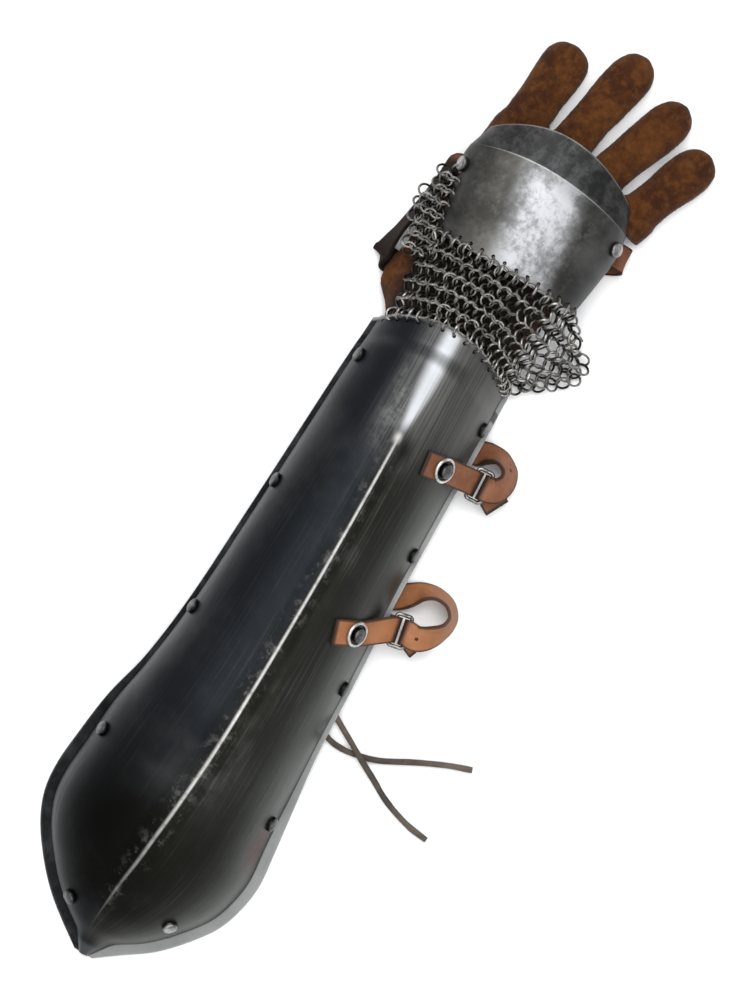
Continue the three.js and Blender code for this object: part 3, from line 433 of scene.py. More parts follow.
def suedeFinish():
    f = Finish("brown suede", Sheen_Weight=0.12, Sheen_Roughness=0.5, Specular_IOR_Level=0.1)
    at = f.place()
    cloud = f.noise(at, 52.0, 5.0, 0.64, 0.4)
    nap = f.noise(at, 210.0, 5.0, 0.72)
    fuzz = f.noise(at, 1700.0, 3.0, 0.7)
    color = f.mix(f.span(cloud, 0.33, 0.66), (0.032, 0.0092, 0.0023), (0.07, 0.0228, 0.0045))
    color = f.mix(f.span(nap, 0.45, 0.68) * 0.5, color, (0.115, 0.042, 0.009))
    color = f.mix(f.span(nap, 0.5, 0.3) * 0.45, color, (0.02, 0.006, 0.002))
    seam = f.node("ShaderNodeAttribute", {"attribute_name": "seam"}, {}, "Fac")
    color = f.mix(seam * 0.6, color, (0.018, 0.007, 0.003))
    # painted shade from the shade attribute
    shade = f.node("ShaderNodeAttribute", {"attribute_name": "shade"}, {}, "Fac")
    color = f.mix(shade * 0.9, color, (0.007, 0.004, 0.003))
    normal = f.bump(nap, 0.5, 0.0007)
    normal = f.bump(fuzz, 0.45, 0.0004, normal)
    return f.wear(Base_Color=color, Roughness=0.86 + 0.12 * fuzz, Normal=normal)


def leatherFinish(name, dark, light, edgeAndShadeColor, worn, gloss=0.5, shine=0.35):
    f = Finish(name, Specular_IOR_Level=shine)
    at = f.place()
    uv = f.surface()
    across = f.part(uv, "Y")
    cloud = f.noise(at, 55.0, 4.0, 0.6)
    grain = f.cells(at, 1100.0)
    pore = f.noise(at, 2300.0, 2.0, 0.6)
    color = f.mix(f.span(cloud, 0.3, 0.7), dark, light)
    color = f.mix(f.span(f.noise(at, 260.0, 4.0, 0.7), 0.52, 0.75) * 0.35, color, worn)
    edge = f.span(abs(across - 0.5), 0.405, 0.465)
    color = f.mix(edge * 0.85, color, edgeAndShadeColor)
    # painted shade and burnished ends from the piece's shade attribute, in the same dark edge colour
    shade = f.node("ShaderNodeAttribute", {"attribute_name": "shade"}, {}, "Fac")
    color = f.mix(shade * 0.96, color, edgeAndShadeColor)
    normal = f.bump(f.noise(at, 150.0, 3.0, 0.6), 0.3, 0.0006)
    normal = f.bump(grain, 0.18, 0.0003, normal)
    normal = f.bump(pore, 0.12, 0.0002, normal)
    return f.wear(Base_Color=color, Roughness=gloss + 0.2 * cloud, Normal=normal)


finishes = {
    "plate": plateFinish(),
    "hand": handFinish(),
    "mail": ironFinish("mail iron", (0.13, 0.125, 0.113), (0.37, 0.36, 0.335), 0.32,
                       (0.017, 0.015, 0.012), 0.95),
    "rivet": ironFinish("dark rivet", (0.06, 0.06, 0.058), (0.16, 0.16, 0.155), 0.36,
                        (0.006, 0.006, 0.007), 0.95),
    "brightRivet": ironFinish("worn rivet", (0.16, 0.16, 0.155), (0.42, 0.42, 0.41), 0.32,
                              (0.012, 0.012, 0.012), 0.9),
    "washer": ironFinish("pale washer", (0.4, 0.39, 0.37), (0.72, 0.71, 0.68), 0.33,
                         (0.01, 0.01, 0.01), 0.95),
    "wire": ironFinish("loop wire", (0.05, 0.045, 0.04), (0.3, 0.29, 0.27), 0.33),
    "suede": suedeFinish(),
    "elbowStrap": leatherFinish("elbow strap leather", (0.21, 0.078, 0.028), (0.31, 0.125, 0.05),
                                (0.02, 0.008, 0.004), (0.36, 0.16, 0.07)),
    "wristStrap": leatherFinish("wrist strap leather", (0.12, 0.043, 0.018), (0.21, 0.08, 0.036),
                                (0.016, 0.007, 0.0035), (0.27, 0.115, 0.055)),
    "palmStrap": leatherFinish("palm strap leather", (0.09, 0.035, 0.018), (0.17, 0.07, 0.04),
                               (0.006, 0.003, 0.002), (0.22, 0.1, 0.06), 0.65, 0.12),
    "thong": leatherFinish("thong leather", (0.035, 0.025, 0.018), (0.1, 0.078, 0.06),
                           (0.022, 0.015, 0.01), (0.17, 0.135, 0.105), 0.6),
}
print("finishes made")


# Laces

laces = {
    "width": 3.6, "thickness": 2.5, "rings": 90, "sides": 12,
    "lace_a": [(186.5, -38, 9), (180, -43.5, 6.5), (175.5, -49, 3.6), (172, -57, 1.9), (171.5, -66, 1.9),
               (173, -75, 1.9), (176, -85, 1.9), (180, -93, 1.9), (185, -102, 1.9), (190, -112, 1.9),
               (194.5, -122, 1.9), (198.5, -133, 1.9)],
    "lace_b": [(193.5, -38, 9), (191, -43.5, 6.5), (187.5, -49, 3.6), (183.5, -55.5, 2.2), (179, -64, 3.6),
               (174.5, -72.5, 6.1), (170, -80.5, 4.2), (165.5, -89, 2.2), (160.5, -98, 1.9),
               (156.5, -108, 1.9), (153.5, -119, 1.9), (152, -131, 1.9)],
}


# A centripetal curve through points, at a share from 0 to 1 of its spans.
def curvePoint(points, share):
    last = len(points) - 1
    at = share * last
    i = min(int(at), last - 1)
    weight = at - i
    p1, p2 = Vector(points[i]), Vector(points[i + 1])
    p0 = Vector(points[i - 1]) if i > 0 else 2 * p1 - p2
    p3 = Vector(points[i + 2]) if i + 2 <= last else 2 * p2 - p1
    d0, d1, d2 = ((a - b).length ** 0.5 or 1e-4 for a, b in ((p0, p1), (p1, p2), (p2, p3)))
    t1 = ((p1 - p0) / d0 - (p2 - p0) / (d0 + d1) + (p2 - p1) / d1) * d1
    t2 = ((p2 - p1) / d1 - (p3 - p1) / (d1 + d2) + (p3 - p2) / d2) * d1
    w = weight
    return ((2 * w**3 - 3 * w**2 + 1) * p1 + (w**3 - 2 * w**2 + w) * t1
            + (3 * w**2 - 2 * w**3) * p2 + (w**3 - w**2) * t2)


def makeLace(name):
    points = laces[name]

    def pointAt(u, v):
        centre = curvePoint(points, u)
        ahead = (curvePoint(points, min(1, u + 0.005)) - curvePoint(points, max(0, u - 0.005))).normalized()
        sideways = Vector((0, 0, 1)).cross(ahead).normalized()
        above = ahead.cross(sideways)
        angle = v * 2 * math.pi
        c, s = math.cos(angle), math.sin(angle)
        square = (abs(c) ** 3 + abs(s) ** 3) ** (-1 / 3)
        wide = laces["width"] / 2 * (1 - 0.12 * noise.noise(centre / 9))
        return centre + sideways * c * square * wide * 0.93 + above * s * square * laces["thickness"] / 2

    lace = gridPiece(name + "_thong", laces["rings"], laces["sides"], pointAt)
    closeTube(lace)
    finished(lace, finishes["thong"], [name])
    path = [toRow(curvePoint(points, k / 60)) for k in range(61)]


makeLace("lace_a")
makeLace("lace_b")


# Forearm plate

plate = {
    "length": 401, "halfWidth": 67, "crown": 50, "wall": 1.6, "straightRim": 3, "elbowRim": 6.5, "edgeLift": 5,
    "wristArc": 15, "ridgeRise": 1.8, "rows": 180, "columns": 112, "rimShare": 4 / 112,
    "holeRadius": 1.1, "holeInset": 3.6, "holePitch": 7,
    # along, thumb side, little side, ridge line, crown
    "sections": [
        (0, 0.085, 0.085, 0.01, 0.08), (0.025, 0.3, 0.284, 0.05, 0.2), (0.05, 0.49, 0.49, 0.06, 0.38),
        (0.082, 0.675, 0.675, 0.05, 0.56), (0.125, 0.865, 0.858, 0.03, 0.73), (0.165, 0.97, 0.94, 0, 0.86),
        (0.205, 1, 0.968, -0.02, 0.94), (0.249, 0.985, 0.94, -0.045, 0.99), (0.324, 0.933, 0.88, -0.075, 0.97),
        (0.399, 0.828, 0.821, -0.087, 0.93), (0.499, 0.761, 0.784, -0.09, 0.88),
        (0.648, 0.724, 0.724, -0.08, 0.84), (0.798, 0.694, 0.687, -0.055, 0.83), (1, 0.655, 0.649, 0, 0.84),
    ],
}


def outlineAt(along, side):
    return plate["halfWidth"] * tableValue(plate["sections"], 1 if side > 0 else 2, along)


def liftAt(along):
    return plate["edgeLift"] * smooth(along, 0.29, 0.4) * (1 - smooth(along, 0.94, 0.968))


def rimAt(along, side):
    low, high = max(0, along - 0.004), min(1, along + 0.004)
    slope = (outlineAt(high, side) - outlineAt(low, side)) / ((high - low) * plate["length"])
    width = plate["straightRim"] + (plate["elbowRim"] - plate["straightRim"]) * (1 - smooth(along, 0.24, 0.42))
    return min(width * math.hypot(1, slope), outlineAt(along, side) * 0.5)


def plateX(along, across):
    return along * plate["length"] - plate["wristArc"] * across * across * smooth(along, 0.86, 1)


def platePoint(along, degrees):
    side = -1 if degrees < 0 else 1
    angle = math.radians(abs(degrees))
    ridge = plate["halfWidth"] * tableValue(plate["sections"], 3, along)
    half = outlineAt(along, side) - rimAt(along, side) - side * ridge
    y = ridge + side * half * math.sin(angle) ** (0.92 if side > 0 else 1)
    crown = plate["crown"] * tableValue(plate["sections"], 4, along)
    fold = plate["ridgeRise"] * smooth(along, 0.03, 0.12) * (1 - smooth(along, 0.83, 0.87))
    peak = fold * max(0, 1 - abs(degrees) / 9)
    rise = crown * max(0, math.cos(angle)) ** (0.95 if side > 0 else 1.1)
    return Vector((plateX(along, y / outlineAt(along, side)), y, liftAt(along) + plate["wall"] + rise + peak))


def rimPoint(along, side):
    return Vector((plateX(along, 1), side * outlineAt(along, side), liftAt(along) + plate["wall"]))


def normalOf(pointAt, along, degrees):
    ahead = pointAt(along + 0.004, degrees) - pointAt(along - 0.004, degrees)
    aside = pointAt(along, degrees + 0.5) - pointAt(along, degrees - 0.5)
    return ahead.cross(aside).normalized()


def edgeAngles(edge, limit, pitch):
    angles = []
    last = edge(-limit)
    degrees = -limit
    while degrees <= limit:
        point = edge(degrees)
        if not angles or (point - last).length >= pitch:
            angles.append(degrees)
            last = point
        degrees += 0.5
    return angles


# Small pins where the rings go through an edge, joined into one cutter.
def edgeCutter(edge, sign):
    startClean()
    bpy.ops.mesh.primitive_cylinder_add(vertices=12, radius=plate["holeRadius"] / 1000, depth=0.008)
    pin = bpy.context.object
    pins = []
    for degrees in edgeAngles(edge, 78, plate["holePitch"]):
        tangent = (edge(degrees + 1) - edge(degrees - 1)).normalized()
        normal = Vector((1, 0, 0)).cross(tangent).normalized()
        point = edge(degrees) + Vector((sign * plate["holeInset"], 0, 0))
        pins.append(copyOf(pin, standing(point, normal)))
    dropped(pin)
    return joined(pins, "ring hole cutter")


def cutWith(piece, cutter):
    applyModifier(piece, "BOOLEAN", operation="DIFFERENCE", object=cutter, solver="EXACT")
    dropped(cutter)


def makeForearmPlate():
    share = plate["rimShare"]

    def pointAt(u, v):
        if v < share:
            return rimPoint(u, -1).lerp(platePoint(u, -90), v / share)
        if v > 1 - share:
            return rimPoint(u, 1).lerp(platePoint(u, 90), (1 - v) / share)
        return platePoint(u, -90 + 180 * (v - share) / (1 - 2 * share))

    piece = gridPiece("forearm_plate_steel", plate["rows"], plate["columns"], pointAt)
    applyModifier(piece, "SOLIDIFY", thickness=plate["wall"] / 1000, offset=-1, use_even_offset=False)
    cutWith(piece, edgeCutter(lambda degrees: platePoint(1, degrees), -1))
    return finished(piece, finishes["plate"], ["forearm_plate"], 24)


makeForearmPlate()
print("forearm plate made")


# Hand plate

hand = {
    "start": 442, "length": 64, "halfWidth": 50, "rise": 22, "edgeHeight": 18, "wall": 1.4,
    "crease": 59.5, "lip": 22, "arc": 7.5, "lipDrop": 7, "rows": 90, "columns": 96, "creaseShare": 0.73,
    "sections": [(0, 0.78, 1, 1), (0.3, 0.82, 1.05, 1.02), (0.6, 0.88, 1.09, 1), (0.85, 0.94, 1.09, 0.97),
                 (1, 0.93, 1.06, 0.92)],
}


def handPoint(along, degrees):
    side = -1 if degrees < 0 else 1
    angle = math.radians(abs(degrees))
    lip = max(0, along - 1)
    on = min(1, along)
    width = hand["halfWidth"] * tableValue(hand["sections"], 1 if side > 0 else 2, on) * (1 - lip * 0.1)
    crown = hand["rise"] * tableValue(hand["sections"], 3, on)
    share = math.sin(angle)
    arc = along * smooth(along, 0.3, 1.1) * hand["arc"]
    x = hand["start"] + on * hand["crease"] + lip * hand["lip"] - arc * share**2
    z = hand["edgeHeight"] + crown * math.cos(angle) - lip * hand["lipDrop"] * (0.35 + 0.65 * math.cos(angle))
    return Vector((x, side * width * share, z))


def makeHandPlate():
    crease = hand["creaseShare"]

    def pointAt(u, v):
        along = u / crease if u <= crease else 1 + (u - crease) / (1 - crease)
        return handPoint(along, -90 + 180 * v)

    piece = gridPiece("hand_plate_steel", hand["rows"], hand["columns"], pointAt)
    applyModifier(piece, "SOLIDIFY", thickness=hand["wall"] / 1000, offset=-1, use_even_offset=False)
    cutWith(piece, edgeCutter(lambda degrees: handPoint(0, degrees), 1))
    return finished(piece, finishes["hand"], ["hand_plate"], 20)


makeHandPlate()
print("hand plate made")


# Mail

mail = {
    "radius": 3.75, "wire": 1.4, "lean": 31, "roll": 8, "pitch": 5.9, "rows": 10, "firstRow": 1.8,
    "little": -86, "thumb": 60, "thumbHand": 82, "lift": 1.0, "segments": 16, "wireSides": 6, "lowest": 0.4,
    "flap": [9, 17, 22.5, 26, 27, 26.5, 25, 21.5, 16, 10], "flapSqueeze": 15,
    "strip": {"rows": 15, "start": 427, "step": 3.6, "counts": [3, 3, 3, 3, 3, 3, 3, 3, 3, 3, 2, 2, 2, 2, 1]},
}


def plateEdge(degrees):
    return platePoint(1, degrees)


def handEdge(degrees):
    return handPoint(0, degrees)


# A row of places across the mail, from the flap's end on the little side to the thumb side.
def mailLine(row):
    share = row / (mail["rows"] - 1)
    band = []
    for k in range(49):
        across = k / 48
        start = plateEdge(mail["little"] + (mail["thumb"] - mail["little"]) * across)
        end = handEdge(mail["little"] + (mail["thumbHand"] - mail["little"]) * across)
        start.x += mail["firstRow"]
        end.x -= mail["firstRow"]
        point = start.lerp(end, share)
        point.z += mail["lift"] + 0.5 * noise.noise(point / 11)
        band.append(point)
    reach = mail["flap"][row]
    flap = []
    for k in range(12, 0, -1):
        out = k / 12
        point = band[0].copy()
        point.y -= out * reach
        drop = smooth(out * reach / 24, 0, 0.8)
        point.z = point.z * (1 - drop) + 4.6 * drop
        point.x += mail["flapSqueeze"] * out * (0.5 - share)
        flap.append(point)
    return flap + band


def ringMatrix(point, across, ahead, lean, roll):
    across = across.normalized()
    normal = ahead.cross(across)
    normal = (normal if normal.z > 0 else -normal).normalized()
    ahead = across.cross(normal).normalized()
    if ahead.x < 0:
        ahead = -ahead
    turn = Matrix((ahead, across, ahead.cross(across))).transposed().to_4x4()
    tilt = Matrix.Rotation(lean, 4, "Y") @ Matrix.Rotation(roll, 4, "X")
    return Matrix.Translation(toRow(point)) @ turn @ tilt


def makeMail():
    startClean()
    bpy.ops.mesh.primitive_torus_add(major_segments=mail["segments"], minor_segments=mail["wireSides"],
                                     major_radius=mail["radius"] / 1000, minor_radius=mail["wire"] / 2000)
    ring = bpy.context.object
    rings = []

    # a ring that would dip into the table is lifted onto it
    def addRing(matrix, shade):
        made = copyOf(ring, matrix)
        low = min(vertex.co.z for vertex in made.data.vertices) * 1000
        if low < mail["lowest"]:
            made.data.transform(Matrix.Translation((0, 0, (mail["lowest"] - low) / 1000)))
        # each ring's lower side is painted dark as shade, deeper by a random amount per ring
        heights = [vertex.co.z for vertex in made.data.vertices]
        middle, reach = (max(heights) + min(heights)) / 2, (max(heights) - min(heights)) / 2
        shaded(made, [min(1, max(0, 0.42 + shade - 1.15 * (high - middle) / reach)) for high in heights])
        rings.append(made)

    def linkRing(point, across, ahead, lean):
        jitter = [random.uniform(-1, 1) for _ in range(5)]
        moved = Vector(point) + Vector(jitter[:3]) * 0.4
        roll = math.radians(mail["roll"]) + jitter[4] * 0.22
        addRing(ringMatrix(moved, across, ahead, lean + jitter[3] * 0.2, roll), 0.5 * random.random() ** 1.4)

    lines = [mailLine(row) for row in range(mail["rows"])]
    for row, line in enumerate(lines):
        lengths = [0.0]
        for a, b in zip(line, line[1:]):
            lengths.append(lengths[-1] + (b - a).length)
        # the rows keep step from the thumb side, so that neighbours link
        at = lengths[-1] - 0.5 - (mail["pitch"] / 2 if row % 2 else 0)
        lean = math.radians(mail["lean"]) * (-1 if row % 2 else 1)
        lastRow = row == mail["rows"] - 1
        while at > 1.0:
            k = min(max(i for i in range(len(lengths)) if lengths[i] <= at), len(line) - 2)
            point = line[k].lerp(line[k + 1], (at - lengths[k]) / (lengths[k + 1] - lengths[k]))
            ahead = line[k] - lines[row - 1][k] if lastRow else lines[row + 1][k] - line[k]
            linkRing(point, line[k + 1] - line[k], ahead, lean)
            at -= mail["pitch"]
    # rings through the holes of both plates stand across the edge
    for edge, inward in ((plateEdge, -1), (handEdge, 1)):
        for degrees in edgeAngles(edge, 78, plate["holePitch"]):
            if edge is plateEdge and degrees > mail["thumb"] + 6:
                continue
            tangent = (edge(degrees + 1) - edge(degrees - 1)).normalized()
            normal = Vector((1, 0, 0)).cross(tangent).normalized()
            point = edge(degrees) + Vector((-inward * 0.2, 0, 0)) - normal * plate["wall"] * 0.3
            turn = Matrix((Vector((1, 0, 0)), normal, tangent)).transposed().to_4x4()
            yaw = Matrix.Rotation(math.radians(random.uniform(-26, 26)), 4, "X")
            addRing(Matrix.Translation(toRow(point)) @ turn @ yaw, 0.1)
    # the strip beside the hand on the thumb side
    strip = mail["strip"]
    for row in range(strip["rows"]):
        x = strip["start"] + row * strip["step"]
        along = (x - hand["start"]) / hand["length"]
        top = handPoint(max(0, along), 80)
        lean = math.radians(mail["lean"]) * (1 if row % 2 else -1)
        for k in range(strip["counts"][row]):
            out = 1.2 + (k + (0.5 if row % 2 else 0)) * mail["pitch"] * 0.9
            if along < 0:
                out -= 5
            drop = smooth(out, 2, 26) * 6.5
            point = Vector((x, top.y + out, top.z + 1.6 - drop))
            linkRing(point, Vector((0, 1, -0.3)), Vector((1, 0, 0)), lean)
    print("mail rings", len(rings))
    whole = joined(rings, "mail_rings")
    dropped(ring)
    return finished(whole, finishes["mail"], ["mail"], 60)


makeMail()
print("mail made")


# Glove

glove = {
    "start": 381, "length": 133, "halfWidth": 50, "height": 36, "floor": 2.4, "wall": 1.8, "voxel": 1.25,
    "atBase": 1.035, "atMiddle": 0.9, "fingerLine": 506, "fingerReach": 75, "fingerHeight": 15,
    # along, thumb side, little side, top
    "sections": [(0, 0.7, 0.68, 0.94), (0.1, 0.84, 0.7, 0.93), (0.2, 1.05, 0.73, 0.88), (0.38, 1, 0.79, 0.84),
                 (0.56, 0.94, 0.9, 0.93), (0.75, 0.86, 1.0, 0.97), (0.9, 0.88, 1.06, 0.84),
                 (1, 0.8, 1.02, 0.5)],
    "fingers": [
        {"base": (-0.1, 0.6), "bend": (0.45, 0.52), "tip": (0.89, 0.48), "width": 0.3},
        {"base": (-0.1, 0.06), "bend": (0.5, -0.05), "tip": (1.08, -0.27), "width": 0.28},
        {"base": (-0.1, -0.4), "bend": (0.35, -0.6), "tip": (0.92, -0.93), "width": 0.275},
        {"base": (-0.1, -0.96), "bend": (0.2, -1.12), "tip": (0.7, -1.43), "width": 0.275},
        {"base": (-0.95, 0.62), "bend": (-0.5, 0.94), "tip": (-0.22, 0.6), "width": 0.19},
    ],
}


def palmPoint(u, v):
    along = u * 1.03 - 0.03
    on = max(0, along)
    thumb = glove["halfWidth"] * tableValue(glove["sections"], 1, on)
    little = glove["halfWidth"] * tableValue(glove["sections"], 2, on)
    top = glove["height"] * tableValue(glove["sections"], 3, on)
    middle = top * 0.14
    angle = v * 2 * math.pi
    c, s = math.cos(angle), math.sin(angle)
    rise = (top - middle) * s**2.4 if s > 0 else -middle * abs(s) ** 0.5
    return Vector((glove["start"] + along * glove["length"], c * (thumb if c > 0 else little),
                   glove["floor"] + middle + rise))


def fingerLine(finger, at):
    def place(spot, height):
        return Vector((glove["fingerLine"] + spot[0] * glove["fingerReach"], spot[1] * glove["halfWidth"],
                       glove["fingerHeight"] * height))
    base, bend, tip = place(finger["base"], 0.46), place(finger["bend"], 0.5), place(finger["tip"], 0.42)
    point = (1 - at) ** 2 * base + 2 * at * (1 - at) * bend + at * at * tip
    ahead = 2 * (1 - at) * (bend - base) + 2 * at * (tip - bend)
    ahead.z = 0
    return point, ahead.normalized()


def fingerHalf(finger, share):
    full = glove["atBase"] + (glove["atMiddle"] - glove["atBase"]) * smooth(share, 0.2, 0.32)
    full += (1 - glove["atMiddle"]) * smooth(share, 0.45, 0.75)
    return finger["width"] * glove["halfWidth"] * full * (1 - 0.06 * share)


def fingerSurface(finger):
    def pointAt(u, v):
        share = min(0.999, u)
        point, ahead = fingerLine(finger, share)
        sideways = Vector((0, 0, 1)).cross(ahead)
        roundOff = math.sqrt(max(0, 1 - max(0, (share - 0.78) / 0.22) ** 2.6))
        wide = fingerHalf(finger, share) * roundOff
        high = glove["fingerHeight"] * (0.58 - 0.1 * smooth(share, 0, 0.5)) * (0.35 + 0.65 * roundOff)
        angle = v * 2 * math.pi
        c, s = math.cos(angle), math.sin(angle)
        return point + sideways * c * wide + Vector((0, 0, 1)) * s * high
    return pointAt


def makeGlove():
    tubes = []
    for k, finger in enumerate(glove["fingers"]):
        tube = gridPiece("finger %d" % k, 44, 36, fingerSurface(finger))
        closeTube(tube)
        tubes.append(tube)
    startClean()
    palm = gridPiece("palm form", 60, 64, palmPoint)
    weld(palm, 0.00002)
    bpy.ops.object.mode_set(mode="EDIT")
    bpy.ops.mesh.select_all(action="DESELECT")
    bpy.ops.mesh.select_non_manifold()
    bpy.ops.mesh.fill_holes(sides=0)
    bpy.ops.mesh.select_all(action="SELECT")
    bpy.ops.mesh.normals_make_consistent(inside=False)
    bpy.ops.object.mode_set(mode="OBJECT")
    whole = joined([palm] + tubes, "glove_suede")
    applyModifier(whole, "REMESH", mode="VOXEL", voxel_size=glove["voxel"] / 1000)
    applyModifier(whole, "SMOOTH", factor=0.6, iterations=5)
    # folds and finger seams, then the flat underside
    seamValues, shades = [], []
    seamPlaces = [(*fingerLine(finger, 0.15 + step * 0.1), fingerHalf(finger, 0.15 + step * 0.1))
                  for finger in glove["fingers"][:4] for step in range(9)]
    for vertex in whole.data.vertices:
        spot = vertex.co * 1000 - frameShift
        seam = 0.0
        for point, ahead, rim in seamPlaces:
            gap = spot - point
            if abs(gap.dot(ahead)) < 5:
                sideways = abs(gap.dot(Vector((0, 0, 1)).cross(ahead)))
                if rim * 0.8 < sideways < rim * 1.2:
                    seam = max(seam, 1 - smooth(abs(spot.z - point.z - 0.6), 0.3, 1.3))
        seamValues.append(seam)
        fold = noise.noise(spot / 13) * 0.7 + noise.noise(spot / 5.5 + Vector((3, 1, 8))) * 0.3
        vertex.co += vertex.normal * (fold * 0.55 - 0.25 - 0.35 * seam) / 1000
        vertex.co.z = max(vertex.co.z, 0.0004 + 0.0002 * noise.noise(spot / 9))
        # the suede under the mail lies in its shade
        covered = smooth(spot.x, 380, 390) * (1 - smooth(spot.x, 446, 456)) * smooth(spot.z, 6, 14)
        shades.append(covered * (1 - smooth(spot.y, 37, 45)))
    shaded(whole, shades)
    seam = whole.data.attributes.new("seam", "FLOAT", "POINT")
    for entry, value in zip(seam.data, seamValues):
        entry.value = value
    makeActive(whole)
    bpy.ops.object.mode_set(mode="EDIT")
    bpy.ops.mesh.select_all(action="SELECT")
    bpy.ops.mesh.bisect(plane_co=toRow((glove["start"] + 0.4, 0, 0)), plane_no=(1, 0, 0), clear_inner=True)
    bpy.ops.object.mode_set(mode="OBJECT")
    applyModifier(whole, "SOLIDIFY", thickness=glove["wall"] / 1000, offset=-1, use_even_offset=False)
    print("glove faces", len(whole.data.polygons))
    return finished(whole, finishes["suede"], ["glove"], 60)


makeGlove()
print("glove made")


# Rivets

rivets = {
    "shank": 1.8, "head": 4.4, "headHeight": 2.6, "tail": 3.4, "tailHeight": 1, "gap": 0.4, "strap": 2,
    "washer": 7.4, "washerHeight": 1.2,
    "profile": [(0.3, 0.98), (0.58, 0.92), (0.78, 0.82), (0.9, 0.68), (0.97, 0.5), (1, 0.3), (1, 0.05)],
    "thumb": [(0.915, 66), (0.7, 72), (0.494, 72), (0.287, 66), (0.067, 40)],
    "little": [(0.915, 73), (0.708, 73), (0.502, 74), (0.292, 70), (0.102, 51)],
    "hand": [("hand_rivet_thumb", 0.72, 74), ("hand_rivet_little", 0.77, -70)],
}


# A low button head with upright sides, its shank and the tail that was peened over.
def rivetForm(name, above, below):
    r = rivets
    steps = [(0.05, above + r["headHeight"])]
    steps += [(r["head"] * wide, above + r["headHeight"] * high) for wide, high in r["profile"]]
    steps += [(r["head"] * 0.94, above), (r["shank"], above), (r["shank"], -below), (r["tail"], -below),
              (r["tail"] * 0.9, -below - r["tailHeight"] * 0.7), (r["tail"] * 0.5, -below - r["tailHeight"])]
    piece = turned(name, steps, 24)
    # the head's upright sides are painted dark as shade
    radii = [math.hypot(vertex.co.x, vertex.co.y) * 1000 / r["head"] for vertex in piece.data.vertices]
    shaded(piece, [smooth(radius, 0.86, 0.96) for radius in radii])
    return piece


def hammered(piece, amount):
    for vertex in piece.data.vertices:
        spot = vertex.co * 1000
        vertex.co += vertex.normal * noise.noise(spot / 2.1 + Vector((5, 2, 1))) * amount / 1000
    return piece


def makeRivet(name, finish, point, normal, above, below):
    form = hammered(rivetForm(name + "_head", above, below), 0.14)
    form.data.transform(standing(point, normal, random.uniform(0, 6)))
    return finished(form, finishes[finish], [name], 35)


def makeRivets():
    r = rivets
    bare = plate["wall"] + r["gap"]
    strapped = plate["wall"] + 2 * r["gap"] + r["strap"]
    for k, (along, angle) in enumerate(r["thumb"]):
        makeRivet("forearm_rivet_thumb_%d" % (k + 1), "rivet", platePoint(along, angle),
                  normalOf(platePoint, along, angle), r["gap"], strapped if k < 2 else bare)
    for k, (along, angle) in enumerate(r["little"]):
        finish = "brightRivet" if k == 4 else "rivet"
        makeRivet("forearm_rivet_little_%d" % (k + 1), finish, platePoint(along, -angle),
                  normalOf(platePoint, along, -angle), r["gap"], strapped if k == 2 else bare)
    for name, along, angle in r["hand"]:
        makeRivet(name, "brightRivet", handPoint(along, angle),
                  normalOf(handPoint, along, angle), r["gap"], hand["wall"] + 4 * r["gap"] + r["strap"])


makeRivets()
print("rivets made")


# Straps

strapSizes = {"width": 14.6, "thickness": 2, "wire": 2.2, "loopGap": 9, "loopHeight": 15, "gap": 0.4,
              "side": 0.6, "tab": 26, "hole": 1.1}
straps = [
    {"name": "elbow_strap", "along": 0.5775, "angle": 47, "slant": 25, "square": 12, "shift": 12.1, "out": 3.6,
     "reach": 33, "far": 1, "finish": "elbowStrap", "holes": [(247, -63)],
     # along, out, rise, turn, lean
     "loop": [(0.06, 0.54, 1.22, 20, 12), (0.19, 0.73, 1.12, 42, 36), (0.41, 0.885, 0.93, 80, 64),
              (0.65, 0.9, 0.79, 115, 72), (0.83, 0.74, 0.71, 150, 72), (0.875, 0.5, 0.64, 180, 68),
              (0.79, 0.27, 0.52, 206, 54), (0.62, 0.09, 0.33, 212, 27), (0.47, -0.09, 0.15, 204, 5),
              (0.4, -0.32, 0.09, 188, 0)]},
    {"name": "wrist_strap", "along": 0.829, "angle": 45, "slant": 12, "square": 4, "shift": 3, "out": 4.6,
     "reach": 22, "far": 0, "finish": "wristStrap", "holes": [(349.3, -64.6)],
     "loop": [(0.12, 0.84, 1.18, 35, 24), (0.42, 0.97, 1.0, 82, 50), (0.72, 0.87, 0.85, 128, 58),
              (0.88, 0.57, 0.7, 172, 58), (0.83, 0.25, 0.47, 198, 42), (0.72, -0.02, 0.19, 200, 9),
              (0.68, -0.34, 0.09, 186, 0)]},
]


def widthDirection(turn, lean):
    level = math.cos(math.radians(lean))
    turn = math.radians(turn)
    return Vector((math.cos(turn) * level, math.sin(turn) * level, math.sin(math.radians(lean))))


def onWall(point, normal, gap, across):
    flat = across - normal * across.dot(normal)
    return point + normal * (gap + strapSizes["thickness"] / 2), flat.normalized()


def underWall(point, normal, wall, across):
    return onWall(point, normal, -wall - strapSizes["gap"] - strapSizes["thickness"], across)


def foldRadius():
    return strapSizes["wire"] * math.sqrt(2) / 2 + strapSizes["gap"] + strapSizes["thickness"] / 2


def turnRound(centre, heading, across, start, end, steps):
    stations = []
    for k in range(steps + 1):
        angle = math.radians(start + (end - start) * k / steps)
        offset = heading * math.cos(angle) + Vector((0, 0, 1)) * math.sin(angle)
        stations.append((centre + offset * foldRadius(), across))
    return stations


# Stations between given ones, on a smooth curve through all of them.
def refine(stations, steps):
    points = [s[0] for s in stations]
    widths = [s[1] for s in stations]
    count = (len(stations) - 1) * steps
    shares = [k / count for k in range(count + 1)]
    return [(curvePoint(points, share), curvePoint(widths, share).normalized()) for share in shares]


